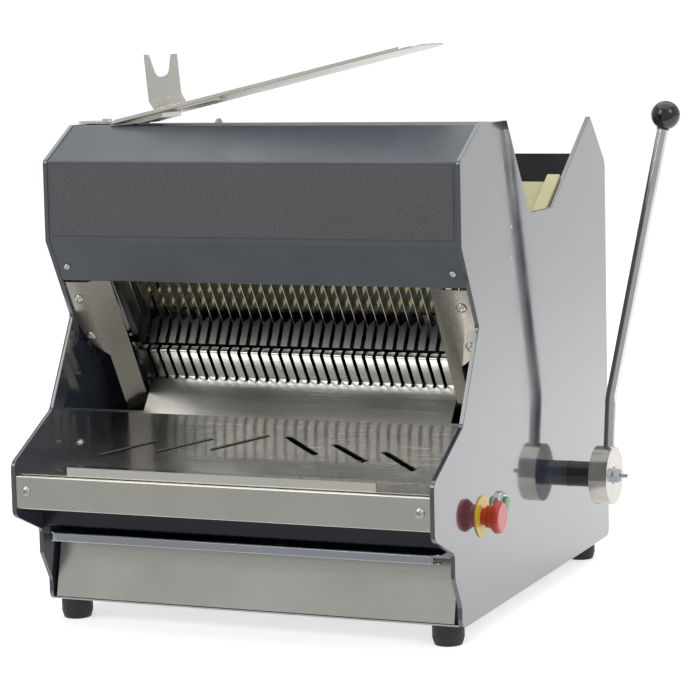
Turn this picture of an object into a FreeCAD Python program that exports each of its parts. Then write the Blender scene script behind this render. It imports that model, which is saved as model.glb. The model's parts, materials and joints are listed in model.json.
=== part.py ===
import FreeCAD, Part, Sketcher
import math
import os
import re
from types import SimpleNamespace
from FreeCAD import Placement, Rotation, Vector

# Counter-top bread slicer with a bent side lever.
# Millimetres, +Z up, +X to the operator's right, -Y towards the operator.
# The origin lies on the table top that the feet stand on, mid width, halfway between the
# front and rear feet. Depths named here run from the front tip of the side plates, so
# "depth" is measured towards the rear and origin_depth is subtracted once, when drawing.
#
# Slicing frame: the blades lean forward by blade_tilt. Pieces that belong to the blades are
# modelled upright in (x, across, up) and leaned over by their Placement. "across" runs from
# the blades towards the rear along the loading floor, "up" runs along the blades.

SIZES = {
    # housing
    "body_width": 580,
    "plate_thickness": 6,
    "origin_depth": 380,
    "body_depth": 698,
    "plate_bottom": 25,
    "sheet": 2,
    "housing_inset": 1.5,
    # side plate outline, depth and height of each corner
    "top_front_depth": 182,
    "top_height": 645,
    "face_depth": 108,
    "face_top": 602,
    "face_bottom": 497,
    "waist_depth": 166,
    "waist_height": 393,
    "tray_shoulder_depth": 102,
    "tray_shoulder_height": 276,
    "tray_top": 222,
    "tray_bottom": 153,
    "chin_depth": 66,
    "chin_height": 124,
    "chin_foot_height": 93,
    "toe_depth": 88,
    "toe_height": 54,
    "rear_shoulder_height": 568,
    "nose_radius": 14,
    "corner_radius": 8,
    "bottom_radius": 12,
    "rear_radius": 22,
    # slicing frame
    "blade_depth": 268,
    "blade_height": 386,
    "blade_tilt": 34,
    "blade_pitch": 15,
    "blade_thickness": 0.8,
    "blade_width": 16,
    "blade_top": 200,
    "blade_bottom": 125,
    "bar_size": 18,
    "bar_gap": 10,
    "upright_width": 8,
    "guide_rod_radius": 6,
    "guide_block_length": 30,
    "slide_clearance": 0.3,
    "stroke": 10,
    "holder_length": 12,
    "running_clearance": 0.05,
    # hopper
    "hopper_front": 156,
    "hopper_rim": 5,
    "hopper_bottom_height": 520,
    "hopper_peak": 440,
    "floor_front": 32,
    "floor_end": 362,
    "liner_front": 10,
    "liner_end": 288.5,
    "liner_thickness": 5,
    "strip_gap": 0.3,
    "strip_start": 34,
    "strip_end": 300,
    "strip_thickness": 9,
    # combs and outlet
    "finger_gap": 5.2,
    "finger_length": 41,
    "comb_fall": 29,
    "comb_tip": -3,
    "comb_tip_up": 2.5,
    "comb_rod_width": 8,
    "comb_rod_thickness": 4,
    "drop_across": 41,
    "drop_top": 30,
    "drop_bottom": 75,
    "drop_hook": 8,
    "notch_reach": 7,
    "ledge_height": 208,
    "ledge_front": 5,
    "ledge_depth": 80,
    "ramp_foot_depth": 238,
    "ramp_foot_height": 254,
    "lip_height": 13,
    "crumb_slot_width": 8,
    "fascia_bottom": 163,
    "fascia_hem": 12,
    # trims beside the outlet
    "trim_tilt": 30,
    "trim_top_depth": 144,
    "trim_top_height": 440,
    "trim_flange": 33,
    "trim_full_width": 62,
    "trim_taper_length": 120,
    "trim_length": 211,
    "trim_return_in": 25.5,
    "trim_return_back": 16.5,
    # pusher
    "pusher_rest": 225,
    "pusher_stroke": 190,
    "pusher_thickness": 12,
    "pusher_bottom": 8,
    "pusher_top": 90,
    "pusher_finger_length": 40,
    "pusher_finger_width": 8,
    "carriage_up": 70,
    "carriage_bar": 20,
    "upright_thickness": 5,
    "floor_slot_width": 9,
    "rod_bracket_gap": 16,
    "bracket_thickness": 6,
    "rod_bracket_width": 40,
    "rod_bracket_drop": 12,
    "rod_bracket_lap": 20,
    "pin_radius": 5,
    "arm_slot_clearance": 8,
    "arm_thickness": 8,
    "arm_rim": 8,
    # lever
    "shaft_depth": 522,
    "shaft_height": 146,
    "shaft_radius": 15,
    "bearing_radius": 32,
    "bearing_thickness": 9,
    "sleeve_radius": 17.5,
    "sleeve_length": 44,
    "hub_radius": 40,
    "hub_thickness": 25.5,
    "stub_radius": 10,
    "thread_radius": 6,
    "nut_height": 9,
    "nipple_length": 8,
    "rod_radius": 8,
    "rod_outset": 3.5,
    "rod_socket": 24,
    "rod_bend_height": 105,
    "rod_bend_radius": 60,
    "lever_height": 498,
    "lever_lean": 9.3,
    "lever_flare": 9.2,
    "ball_radius": 20,
    "collar_radius": 8.6,
    "collar_length": 2.5,
    # drive
    "crank_up": 240,
    "crank_radius": 10,
    "eccentric_radius": 23,
    "eccentric_thickness": 14,
    "strap_thickness": 12,
    "strap_wall": 8,
    "strap_clearance": 1.5,
    "crank_bearing_radius": 28,
    "crank_bearing_thickness": 20,
    "pulley_width": 20,
    "crank_pulley_radius": 70,
    "motor_pulley_radius": 25,
    "groove_depth": 6,
    "groove_width": 11,
    "belt_width": 10,
    "belt_clearance": 0.5,
    "motor_depth": 480,
    "motor_height": 82,
    "motor_radius": 50,
    "motor_length": 230,
    "motor_start": 150,
    # crumb drawer
    "drawer_floor": 31,
    "drawer_side_top": 100,
    "drawer_front_depth": 106,
    "drawer_front_top": 109,
    "drawer_length": 290,
    "drawer_wall": 1.5,
    "drawer_gap": 5,
    "handle_depth": 56,
    "handle_top": 123,
    "handle_height": 12,
    # controls
    "stop_depth": 164,
    "stop_height": 153,
    "stop_ring_radius": 26,
    "stop_head_radius": 21,
    "stop_neck_radius": 14,
    "stop_length": 28,
    "stop_travel": 5,
    "block_length": 44,
    "start_depth": 230,
    "start_height": 156,
    "start_radius": 11,
    "bezel_radius": 17,
    # feet and fasteners
    "foot_radius": 20.5,
    "foot_height": 27,
    "front_foot_depth": 112,
    "rear_foot_inset": 50,
    "screw_radius": 6.8,
    "screw_height": 3.5,
    "small_screw_radius": 2.8,
    "small_screw_height": 1,
    "screw_inset": 14,
    "hood_screw_along": 46,
    "fascia_screw_height": 186,
    "table_screw_depth": 146,
    "trim_screw_first": 22,
    "trim_screw_second": 83,
    # bagging scoop
    "scoop_pivot_depth": 236,
    "scoop_pivot_radius": 11,
    "scoop_pivot_height": 2.2,
    "pivot_pin_length": 2.5,
    "scoop_tilt": 12.6,
    "scoop_before": 23,
    "scoop_after": 403,
    "scoop_nose": 26,
    "scoop_width": 110,
    "scoop_rim": 5,
    "scoop_height": 6,
    "bracket_drop": 6,
    "bracket_width": 56,
    "stiffener_thickness": 3,
    "fork_side": 59,
    "fork_depth": 36,
    "fork_bend": 18,
    "fork_height": 80,
    "fork_lean": 8,
    "fork_drop": 10,
    "fork_width": 49,
    "fork_gap": 38,
    "fork_gap_depth": 34,
}

# Distances from the middle that are set by the gap left up to the side plates' inner faces.
SIDE_GAPS = {
    "frame_inner_half": 51,
    "liner_half": 18,
    "tongue_half": 67,
    "ramp_half": 62,
    "lip_half": 72,
    "pusher_half": 55,
    "pusher_rod_offset": 104,
    "arm_offset": 14,
    "front_strap_offset": 114,
    "rear_strap_offset": 184,
    "pulley_side": 69,
    "handle_half": 12,
    "foot_side": 22,
    "gland_side": 84,
    "scoop_pivot_side": 74,
}

doc = FreeCAD.newDocument("BreadSlicer")
sheet = doc.addObject("Spreadsheet::Sheet", "Sizes")
cells = {**SIZES, **{name + "_gap": gap for name, gap in SIDE_GAPS.items()}}
for row, (alias, value) in enumerate(cells.items(), start=1):
    sheet.set(f"A{row}", alias)
    sheet.set(f"B{row}", str(value))
    sheet.setAlias(f"B{row}", alias)
doc.recompute()
size = SimpleNamespace(**{alias: float(getattr(sheet, alias)) for alias in cells})

TILT = math.radians(size.blade_tilt)
INNER_HALF = size.body_width / 2 - size.plate_thickness
OUTER_HALF = size.body_width / 2
for name in SIDE_GAPS:
    setattr(size, name, INNER_HALF - getattr(size, name + "_gap"))
BLADE_COUNT = 2 * int((size.frame_inner_half - 10) / size.blade_pitch + 0.5)
ALONG_X = Vector(1, 0, 0)
nodes = []


# ---------------------------------------------------------------- helpers

def bind(feature, prop, expression):
    """Ties a property to the sizes named in the expression."""
    def cell(word):
        name = word.group()
        if name in SIDE_GAPS:
            return f"(Sizes.body_width / 2 - Sizes.plate_thickness - Sizes.{name}_gap)"
        return "Sizes." + name if name in SIZES else name

    feature.setExpression(prop, re.sub(r"[a-z]\w+", cell, expression))


def leaned(across, up):
    """Depth and height of a point given in the slicing frame."""
    depth = size.blade_depth + across * math.cos(TILT) - up * math.sin(TILT)
    height = size.blade_height + across * math.sin(TILT) + up * math.cos(TILT)
    return depth, height


def upright_frame(depth, height):
    """The slicing frame's (across, up) of a point given by depth and height."""
    along_depth = depth - size.blade_depth
    along_height = height - size.blade_height
    across = along_depth * math.cos(TILT) + along_height * math.sin(TILT)
    up = -along_depth * math.sin(TILT) + along_height * math.cos(TILT)
    return across, up


def at(x, depth, height):
    return Vector(x, depth - size.origin_depth, height)


def keep(made):
    nodes.append(made)
    return made


def new_body(label):
    return keep(doc.addObject("PartDesign::Body", label))


def new_sketch(body, plane, offset="0"):
    """A sketch on one of the body's own origin planes, shifted along its normal."""
    made = body.newObject("Sketcher::SketchObject", body.Name + "_sketch")
    support = next(item for item in body.Origin.OriginFeatures if item.Role == plane + "_Plane")
    made.AttachmentSupport = (support, [""])
    made.MapMode = "FlatFace"
    bind(made, "AttachmentOffset.Base.z", offset)
    return made


def outline(sketch, corners):
    """Closed outline of lines; a corner given as (u, v, radius) is rounded by an arc."""
    starts, ends = [], []
    count = len(corners)
    for index, corner in enumerate(corners):
        here = Vector(corner[0], corner[1], 0)
        radius = corner[2] if len(corner) > 2 else 0
        if radius == 0:
            starts.append(here)
            ends.append(here)
            continue
        before = Vector(*corners[index - 1][:2], 0)
        after = Vector(*corners[(index + 1) % count][:2], 0)
        back = (before - here).normalize()
        ahead = (after - here).normalize()
        half = back.getAngle(ahead) / 2
        bisector = (back + ahead).normalize()
        first = here + back * (radius / math.tan(half))
        last = here + ahead * (radius / math.tan(half))
        middle = here + bisector * (radius / math.sin(half) - radius)
        sketch.addGeometry(Part.Arc(first, middle, last))
        starts.append(first)
        ends.append(last)
    for index in range(count):
        leave = ends[index]
        reach = starts[(index + 1) % count]
        sketch.addGeometry(Part.LineSegment(leave, reach))


def side_outline(sketch, corners):
    """Outline whose corners are (depth, height, radius) on the YZ plane."""
    outline(sketch, [(corner[0] - size.origin_depth, *corner[1:]) for corner in corners])


def circle(sketch, u, v, radius):
    """Circle whose radius is bound to the sheet."""
    index = sketch.addGeometry(Part.Circle(Vector(u, v, 0), Vector(0, 0, 1), 1))
    number = sketch.addConstraint(Sketcher.Constraint("Radius", index, 1.0))
    bind(sketch, f"Constraints[{number}]", radius)


def rectangle(sketch, u_from, u_to, v_from, v_to, radius=0):
    outline(sketch, [(u_from, v_from, radius), (u_to, v_from, radius),
                     (u_to, v_to, radius), (u_from, v_to, radius)])


def pad(body, sketch, length, symmetric=False, backwards=False):
    made = body.newObject("PartDesign::Pad", body.Name + "_pad")
    made.Profile = sketch
    bind(made, "Length", length)
    made.SideType = "Symmetric" if symmetric else "One side"
    made.Reversed = backwards
    return made


def pocket(body, sketch, length, symmetric=True, backwards=False):
    """A cut that must remove material."""
    doc.recompute()
    before = body.Shape.Volume
    made = body.newObject("PartDesign::Pocket", body.Name + "_pocket")
    made.Profile = sketch
    bind(made, "Length", length)
    made.SideType = "Symmetric" if symmetric else "One side"
    made.Reversed = backwards
    doc.recompute()
    if body.Shape.Volume >= before - 1e-6:
        raise RuntimeError(body.Name + ": a pocket removed nothing")
    return made


def repeat_along_x(body, feature, count, span):
    """Linear pattern of a feature along X; count and span are sheet expressions."""
    made = body.newObject("PartDesign::LinearPattern", body.Name + "_pattern")
    made.Originals = [feature]
    axis = next(item for item in body.Origin.OriginFeatures if item.Role == "X_Axis")
    made.Direction = (axis, [""])
    bind(made, "Occurrences", count)
    bind(made, "Length", span)
    body.Tip = made
    return made


def turned(body, sketch, axis_role):
    made = body.newObject("PartDesign::Revolution", body.Name + "_turned")
    made.Profile = sketch
    axis = next(item for item in body.Origin.OriginFeatures if item.Role == axis_role)
    made.ReferenceAxis = (axis, [""])
    made.Angle = 360
    return made


def lean_over(body):
    """Leans a body from the slicing frame into the machine."""
    body.Placement = Placement(Vector(0, 0, 0), Rotation(ALONG_X, size.blade_tilt))
    bind(body, "Placement.Base.y", "blade_depth - origin_depth")
    bind(body, "Placement.Base.z", "blade_height")
    return body


def slab(label, corners, length, offset="0"):
    """A piece of constant side profile, as wide as length and centred on offset along X."""
    made = new_body(label)
    sketch = new_sketch(made, "YZ", offset)
    side_outline(sketch, corners)
    pad(made, sketch, length, symmetric=True)
    return made


def leaned_slab(label, corners, length, offset="0"):
    """Like slab, with corners given as (across, up, radius) in the slicing frame."""
    made = new_body(label)
    sketch = new_sketch(made, "YZ", offset)
    outline(sketch, corners)
    pad(made, sketch, length, symmetric=True)
    return lean_over(made)


def bent_sheet(path, thickness, bend=0.0):
    """Closed profile of a bent sheet; thickness grows to the left of the path's direction."""
    points = [Vector(point[0], point[1], 0) for point in path]
    count = len(points)
    near, far = [], []
    for index, here in enumerate(points):
        ahead = (points[index + 1] - here).normalize() if index < count - 1 else None
        behind = (here - points[index - 1]).normalize() if index > 0 else None
        if ahead is None or behind is None:
            way = ahead or behind
            near.append((here.x, here.y))
            far.append((here.x - way.y * thickness, here.y + way.x * thickness))
            continue
        left_in = Vector(-behind.y, behind.x, 0)
        left_out = Vector(-ahead.y, ahead.x, 0)
        mitre = left_in + left_out
        mitre = mitre * (thickness / mitre.dot(left_in))
        turns_left = behind.x * ahead.y - behind.y * ahead.x > 0
        near_radius = bend + thickness if turns_left else bend
        far_radius = bend if turns_left else bend + thickness
        near.append((here.x, here.y, near_radius))
        far.append((here.x + mitre.x, here.y + mitre.y, far_radius))
    return near + far[::-1]


def solid_group(label, solids):
    """Identical or matching pieces that share one node."""
    made = keep(doc.addObject("Part::Feature", label))
    made.Shape = solids[0] if len(solids) == 1 else Part.makeCompound(solids)
    return made


def dome_screw(centre, outward, radius, height):
    """Pan head of a screw, its flat side on the surface at centre."""
    head = Part.makeCylinder(radius, height, centre, outward)
    rim = [edge for edge in head.Edges if isinstance(edge.Curve, Part.Circle)
           and (edge.Curve.Center - centre).Length > height / 2]
    return head.makeFillet(height * 0.7, rim)


def lean_shape(shape):
    shape.Placement = Placement(at(0, size.blade_depth, size.blade_height),
                                Rotation(ALONG_X, size.blade_tilt))
    return shape


def finger_centres():
    """X of every gap between two blades, and of the gap outside each end blade."""
    first = -size.blade_pitch * BLADE_COUNT / 2
    return [first + index * size.blade_pitch for index in range(BLADE_COUNT + 1)]


def blade_centres():
    first = -size.blade_pitch * (BLADE_COUNT - 1) / 2
    return [first + index * size.blade_pitch for index in range(BLADE_COUNT)]


# ---------------------------------------------------------------- housing

def hopper_corner(up):
    """Across of the hopper's level bottom where it meets a line at the given up."""
    run = (size.hopper_bottom_height - size.blade_height - up * math.cos(TILT)) / math.sin(TILT)
    return run


def hopper_front_up():
    """Up of the hopper's level bottom on its front edge."""
    rise = size.hopper_bottom_height - size.blade_height - size.hopper_front * math.sin(TILT)
    return rise / math.cos(TILT)


def side_plate_corners():
    rim = size.hopper_rim
    top_rise = size.top_height - size.blade_height - size.hopper_front * math.sin(TILT)
    return [
        (size.top_front_depth, size.top_height, size.corner_radius),
        (size.face_depth, size.face_top, size.corner_radius),
        (size.face_depth, size.face_bottom, size.corner_radius),
        (size.waist_depth, size.waist_height, size.corner_radius),
        (size.tray_shoulder_depth, size.tray_shoulder_height, size.nose_radius),
        (0, size.tray_top, size.nose_radius),
        (0, size.tray_bottom, size.nose_radius),
        (size.chin_depth, size.chin_height, size.corner_radius),
        (size.chin_depth, size.chin_foot_height, size.corner_radius),
        (size.toe_depth, size.toe_height, size.corner_radius),
        (size.toe_depth, size.plate_bottom, size.bottom_radius),
        (size.body_depth, size.plate_bottom, size.bottom_radius),
        (size.body_depth, size.rear_shoulder_height, size.rear_radius),
        (*leaned(size.hopper_peak, rim), size.corner_radius / 2),
        leaned(hopper_corner(rim), rim),
        leaned(size.hopper_front, hopper_front_up()),
        (*leaned(size.hopper_front, top_rise / math.cos(TILT)), 1),
    ]


def side_plate(label, side):
    """Painted steel side plate; the right one has holes for the shaft and the two buttons."""
    made = new_body(label)
    sketch = new_sketch(made, "YZ", f"{side} * (body_width / 2 - plate_thickness / 2)")
    side_outline(sketch, side_plate_corners())
    pad(made, sketch, "plate_thickness", symmetric=True)
    if side < 0:
        return made
    holes = new_sketch(made, "YZ", "body_width / 2 - plate_thickness / 2")
    circle(holes, size.shaft_depth - size.origin_depth, size.shaft_height,
           "sleeve_radius + slide_clearance")
    circle(holes, size.stop_depth - size.origin_depth, size.stop_height, "start_radius")
    circle(holes, size.start_depth - size.origin_depth, size.start_height, "start_radius")
    pocket(made, holes, "plate_thickness * 2")
    return made


def hood():
    """Bent sheet over the blades: rear flange, top, chamfer, face, slanted lower face, hem."""
    inset = size.housing_inset
    top = size.top_height - inset
    rear_across = size.hopper_front - inset
    rear_top_up = (top - size.blade_height - rear_across * math.sin(TILT)) / math.cos(TILT)
    slope_depth = size.waist_depth - size.face_depth
    slope_height = size.face_bottom - size.waist_height
    lower_height = size.trim_top_height + size.sheet
    lower_depth = size.face_depth + inset + slope_depth * (
        (size.face_bottom - lower_height) / slope_height)
    hem = 10
    path = [
        leaned(rear_across, rear_top_up - 4 * hem),
        leaned(rear_across, rear_top_up),
        (size.top_front_depth + inset / 2, top),
        (size.face_depth + inset, size.face_top - inset / 2),
        (size.face_depth + inset, size.face_bottom),
        (lower_depth, lower_height),
        (lower_depth + hem, lower_height + hem / 2),
    ]
    profile = bent_sheet(path, size.sheet, size.sheet / 2)
    return slab("hood", profile, "body_width - 2 * plate_thickness")


def hood_front_plate():
    """Thin brushed plate stuck on the hood's upright face."""
    front = size.face_depth + size.housing_inset
    margin = 4
    low = size.face_bottom + 2 * margin
    high = size.face_top - 1.5 * margin
    thick = size.sheet / 2
    corners = [(front - thick, low), (front, low), (front, high), (front - thick, high)]
    return slab("hood_front_plate", corners, f"body_width - 2 * plate_thickness - {2 * margin}")


def rear_cover():
    """Bent sheet that closes the machine behind the hopper and at the back."""
    floor_end_depth, floor_end_height = leaned(size.floor_end, 0)
    gap = size.sheet
    path = [
        (floor_end_depth + gap, floor_end_height - 24),
        (floor_end_depth + gap, floor_end_height - 3),
        (size.body_depth - 4 * gap, size.rear_shoulder_height - 8),
        (size.body_depth - 4 * gap, size.plate_bottom + 5),
    ]
    profile = bent_sheet(path[::-1], size.sheet, size.sheet / 2)
    return slab("rear_cover", profile, "body_width - 2 * plate_thickness")


def base_tray():
    """Flat bottom sheet between the side plates, with an upturned rear flange."""
    bottom = size.foot_height
    front = size.toe_depth + 4
    rear = size.body_depth - 5 * size.sheet
    path = [(front, bottom), (rear, bottom), (rear, bottom + 22)]
    profile = bent_sheet(path, size.sheet, size.sheet / 2)
    return slab("base_tray", profile, "body_width - 2 * plate_thickness")


def front_crossbar():
    """Dark channel that ties the side plates above the crumb drawer."""
    front = size.chin_depth + 4
    low = size.handle_top + 5
    high = size.fascia_bottom + 1
    path = [(front + 26, low), (front, low), (front, high), (front + 26, high)]
    profile = bent_sheet(path[::-1], size.sheet, size.sheet / 2)
    return slab("front_crossbar", profile, "body_width - 2 * plate_thickness")


# ---------------------------------------------------------------- outlet

def outlet_table():
    """One stainless sheet: upturned lip, level ledge, sloping table, ramp and slotted drop comb."""
    made = new_body("outlet_table")
    top = leaned(-size.drop_across, -size.drop_top)
    hook = leaned(size.drop_hook - size.drop_across, -size.drop_top)
    bottom = leaned(-size.drop_across, -size.drop_bottom)
    level = size.ledge_height - size.sheet
    front = size.ledge_front + size.sheet
    path = [
        (front, level + size.lip_height),
        (front, level),
        (size.ledge_depth, level),
        (size.ramp_foot_depth, size.ramp_foot_height - size.sheet),
        bottom,
        top,
        hook,
    ]
    sketch = new_sketch(made, "YZ")
    side_outline(sketch, bent_sheet(path, size.sheet, size.sheet / 2))
    pad(made, sketch, "body_width - 2 * plate_thickness", symmetric=True)

    # the comb is narrower than the table, the ramp under it narrower still, and so is the lip
    comb_half = size.blade_pitch * (BLADE_COUNT + 1) / 2
    back = size.ramp_foot_depth + 1
    above = size.blade_height
    for side in (-1, 1):
        rear = new_sketch(made, "YZ", f"{side} * ({comb_half} + body_width / 4)")
        side_outline(rear, [(back, 0), (back + 200, 0), (back + 200, above + 100), (back - 90, above + 100),
                            (back - 90, size.ramp_foot_height + 8), (back, size.ramp_foot_height + 8)])
        pocket(made, rear, "body_width / 2")
        ramp = new_sketch(made, "YZ", f"{side} * (ramp_half + body_width / 4)")
        ramp_top = leaned(-size.drop_across - size.sheet, size.sheet - size.drop_bottom)
        side_outline(ramp, [(back, 0), (ramp_top[0] + 40, 0), ramp_top, (back, ramp_top[1])])
        pocket(made, ramp, "body_width / 2")
        edge = new_sketch(made, "YZ", f"{side} * (body_width / 4 + lip_half / 2)")
        side_outline(edge, [(-5, size.ledge_height), (front + 2 * size.sheet, size.ledge_height),
                            (front + 2 * size.sheet, size.ledge_height + 30),
                            (-5, size.ledge_height + 30)])
        pocket(made, edge, "body_width / 2 - lip_half")

    # slots between the slats, from under the hook down into the ramp
    slot = new_sketch(made, "YZ", f"-blade_pitch * {BLADE_COUNT - 1} / 2")
    near = -size.drop_across - size.notch_reach
    far = size.drop_hook - size.drop_across + 2 * size.sheet
    low = -size.drop_bottom - 2 * size.sheet
    high = size.sheet - size.drop_top
    reach = [(near, low), (far, low), (far, high), (near, high)]
    side_outline(slot, [leaned(*point) for point in reach])
    cut = pocket(made, slot, "finger_gap")
    repeat_along_x(made, cut, str(BLADE_COUNT), f"blade_pitch * {BLADE_COUNT - 1}")
    doc.recompute()

    # three slanted crumb slots on each side of the middle
    for side in (-1, 1):
        for start, end in CRUMB_SLOTS:
            crumbs = new_sketch(made, "XY", "ledge_height - 20")
            slanted_slot(crumbs, side, start, end)
            pocket(made, crumbs, "60", symmetric=False, backwards=True)
    return made


# outer and inner end of each crumb slot, as (distance from the middle, depth)
CRUMB_SLOTS = [
    ((221, 111), (160, 158)),
    ((148, 127), (86, 172)),
    ((75, 140), (12, 188)),
]


def slanted_slot(sketch, side, start, end):
    first = Vector(side * start[0], start[1] - size.origin_depth, 0)
    last = Vector(side * end[0], end[1] - size.origin_depth, 0)
    way = (last - first).normalize()
    out = Vector(-way.y, way.x, 0) * (size.crumb_slot_width / 2)
    corners = [first + out, first - out, last - out, last + out]
    outline(sketch, [(corner.x, corner.y) for corner in corners])


def front_fascia():
    """Stainless strip across the front of the table, with a returned lower hem."""
    front = size.ledge_front - 3
    high = size.ledge_height - size.sheet
    low = size.fascia_bottom
    hem = size.fascia_hem
    path = [(front + 24, high), (front, high), (front, low), (front + hem, low),
            (front + hem, low + hem / 2)]
    profile = bent_sheet(path, size.sheet * 0.75, size.sheet / 2)
    return slab("front_fascia", profile, "body_width - 2 * plate_thickness")


def finger_point(along, drop=0):
    """Slicing-frame point at a distance from the fingers' tips and a drop below their face."""
    fall = math.radians(size.comb_fall)
    across = size.comb_tip - along * math.cos(fall) + drop * math.sin(fall)
    up = size.comb_tip_up - along * math.sin(fall) - drop * math.cos(fall)
    return across, up


def comb_fingers():
    """Flat steel fingers that carry the loaf past the blades, each with a slanted tip."""
    half = (size.blade_pitch - size.finger_gap) / 2
    thick_across, thick_up = finger_point(0, size.sheet)
    thick = Vector(0, thick_across - size.comb_tip, thick_up - size.comb_tip_up)
    solids = []
    for centre in finger_centres():
        plan = [(centre - half, size.finger_length), (centre + half, size.finger_length),
                (centre + half, 0), (centre - half, 2 * half)]
        points = [Vector(x, *finger_point(along)) for x, along in plan]
        solids.append(lean_shape(Part.Face(Part.makePolygon(points + points[:1])).extrude(thick)))
    return solid_group("comb_fingers", solids)


def comb_rod():
    """Black flat bar under the fingers' front, from plate to plate."""
    start = size.finger_length - 1
    end = start - size.comb_rod_width
    low = size.sheet + size.comb_rod_thickness
    corners = [finger_point(start, size.sheet), finger_point(start, low),
               finger_point(end, low), finger_point(end, size.sheet)]
    return leaned_slab("comb_rod", corners, "body_width - 2 * plate_thickness")


def outlet_trim(label, side):
    """Bent stainless cover beside the outlet: screwed flange and slanted return."""
    tilt = math.radians(size.trim_tilt)
    top = at(0, size.trim_top_depth, size.trim_top_height)
    down = Vector(0, math.sin(tilt), -math.cos(tilt))
    back = Vector(0, math.cos(tilt), math.sin(tilt))
    outer = Vector(side * INNER_HALF, 0, 0)
    bend = Vector(side * (INNER_HALF - size.trim_flange), 0, 0)
    inner = bend + Vector(-side * size.trim_return_in, 0, 0) + back * size.trim_return_back
    thick = size.sheet * 0.75
    full = size.trim_length
    # full width below the top, then an edge that curves in to the bend
    rise = size.trim_taper_length - size.trim_full_width
    radius = (size.trim_flange ** 2 + rise ** 2) / (2 * size.trim_flange)
    turn = math.asin(rise / radius) / 2
    shoulder = top + outer + down * size.trim_full_width
    curve = (shoulder - Vector(side * radius * (1 - math.cos(turn)), 0, 0)
             + down * (radius * math.sin(turn)))
    foot = top + bend + down * size.trim_taper_length
    edges = [Part.LineSegment(top + bend, top + outer).toShape(),
             Part.LineSegment(top + outer, shoulder).toShape(),
             Part.Arc(shoulder, curve, foot).toShape(),
             Part.LineSegment(foot, top + bend).toShape()]
    flange = Part.Face(Part.Wire(edges)).extrude(back * thick)
    skin = [top + bend, top + inner, top + inner + down * full, top + bend + down * full]
    across = (inner - bend).cross(down).normalize()
    if across.y < 0:
        across = across * -1
    strip = Part.Face(Part.makePolygon(skin + skin[:1])).extrude(across * thick)
    return solid_group(label, [flange.fuse(strip).removeSplitter()])


# ---------------------------------------------------------------- hopper

def loading_floor():
    """Black sheet that the loaf slides down, slotted for the pusher's uprights."""
    made = new_body("loading_floor")
    sketch = new_sketch(made, "YZ")
    flange = leaned_down(size.floor_end, 20)
    outline(sketch, bent_sheet([(size.floor_front, 0), (size.floor_end, 0), flange][::-1], size.sheet))
    pad(made, sketch, "body_width - 2 * plate_thickness", symmetric=True)
    lean_over(made)
    doc.recompute()
    upright_slots(made, size.sheet)
    return made


def leaned_down(across, drop):
    """Slicing-frame point straight below a point of the floor line, in the machine."""
    return across - drop * math.sin(TILT), -drop * math.cos(TILT)


def upright_slots(body, reach):
    """Slots at both sides for the pusher's uprights, over its whole travel."""
    first = size.pusher_rest - size.pusher_stroke - 3
    last = size.pusher_rest + size.pusher_thickness + 3
    first = max(first, size.floor_front + 2)
    for side in (-1, 1):
        slot = new_sketch(body, "YZ", f"{side} * (pusher_half + upright_thickness / 2)")
        outline(slot, [(first, -2 * reach), (last, -2 * reach), (last, 3 * reach), (first, 3 * reach)])
        pocket(body, slot, "floor_slot_width")


def floor_liner():
    """Cream plastic board on the floor, with a narrower tongue up to the blades."""
    made = new_body("floor_liner")
    sketch = new_sketch(made, "XY")
    notch = size.floor_front
    outline(sketch, [(-size.liner_half, size.liner_end), (-size.liner_half, notch),
                     (-size.tongue_half, notch), (-size.tongue_half, size.liner_front),
                     (size.tongue_half, size.liner_front), (size.tongue_half, notch),
                     (size.liner_half, notch), (size.liner_half, size.liner_end)])
    pad(made, sketch, "liner_thickness")
    lean_over(made)
    doc.recompute()
    upright_slots(made, size.liner_thickness)
    return made


def side_strips():
    """Cream plastic strips that fill the floor between the liner and the side plates."""
    solids = []
    length = size.strip_end - size.strip_start
    width = INNER_HALF - size.liner_half - size.strip_gap
    for side in (-1, 1):
        near = size.liner_half if side > 0 else -size.liner_half - width
        strip = Part.makeBox(width, length, size.strip_thickness, Vector(near, size.strip_start, 0))
        solids.append(lean_shape(strip))
    return solid_group("side_strips", solids)


# ---------------------------------------------------------------- blade frames

def blade_frame(label, face):
    """Welded frame on one side of the blades (face -1 front, +1 rear) with its slide blocks."""
    made = new_body(label)
    middle = f"{face} * (bar_gap + bar_size / 2)"
    # sketches on XZ look along -Y, so their offset counts towards the front
    shift = f"-({middle})"
    half = size.frame_inner_half
    wide = half + size.upright_width
    ring = new_sketch(made, "XZ", shift)
    rectangle(ring, -wide, wide, -size.blade_bottom, size.blade_top, 4)
    rectangle(ring, -half, half, -size.blade_bottom + size.bar_size, size.blade_top - size.bar_size)
    pad(made, ring, "bar_size", symmetric=True)
    block = size.bar_size
    levels = (-size.blade_bottom + 1.5 * size.bar_size, size.blade_top - 1.5 * size.bar_size
              - size.guide_block_length)
    for side in (-1, 1):
        for level in levels:
            part = new_sketch(made, "XZ", shift)
            edges = sorted((side * wide, side * (wide + block)))
            rectangle(part, *edges, level, level + size.guide_block_length)
            pad(made, part, "bar_size", symmetric=True)
    doc.recompute()
    bores = new_sketch(made, "XY", "-blade_bottom")
    for side in (-1, 1):
        circle(bores, side * (wide + block / 2), face * (size.bar_gap + size.bar_size / 2),
               "guide_rod_radius + slide_clearance")
    pocket(made, bores, "blade_top + blade_bottom", symmetric=False, backwards=True)
    return lean_over(made)


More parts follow.
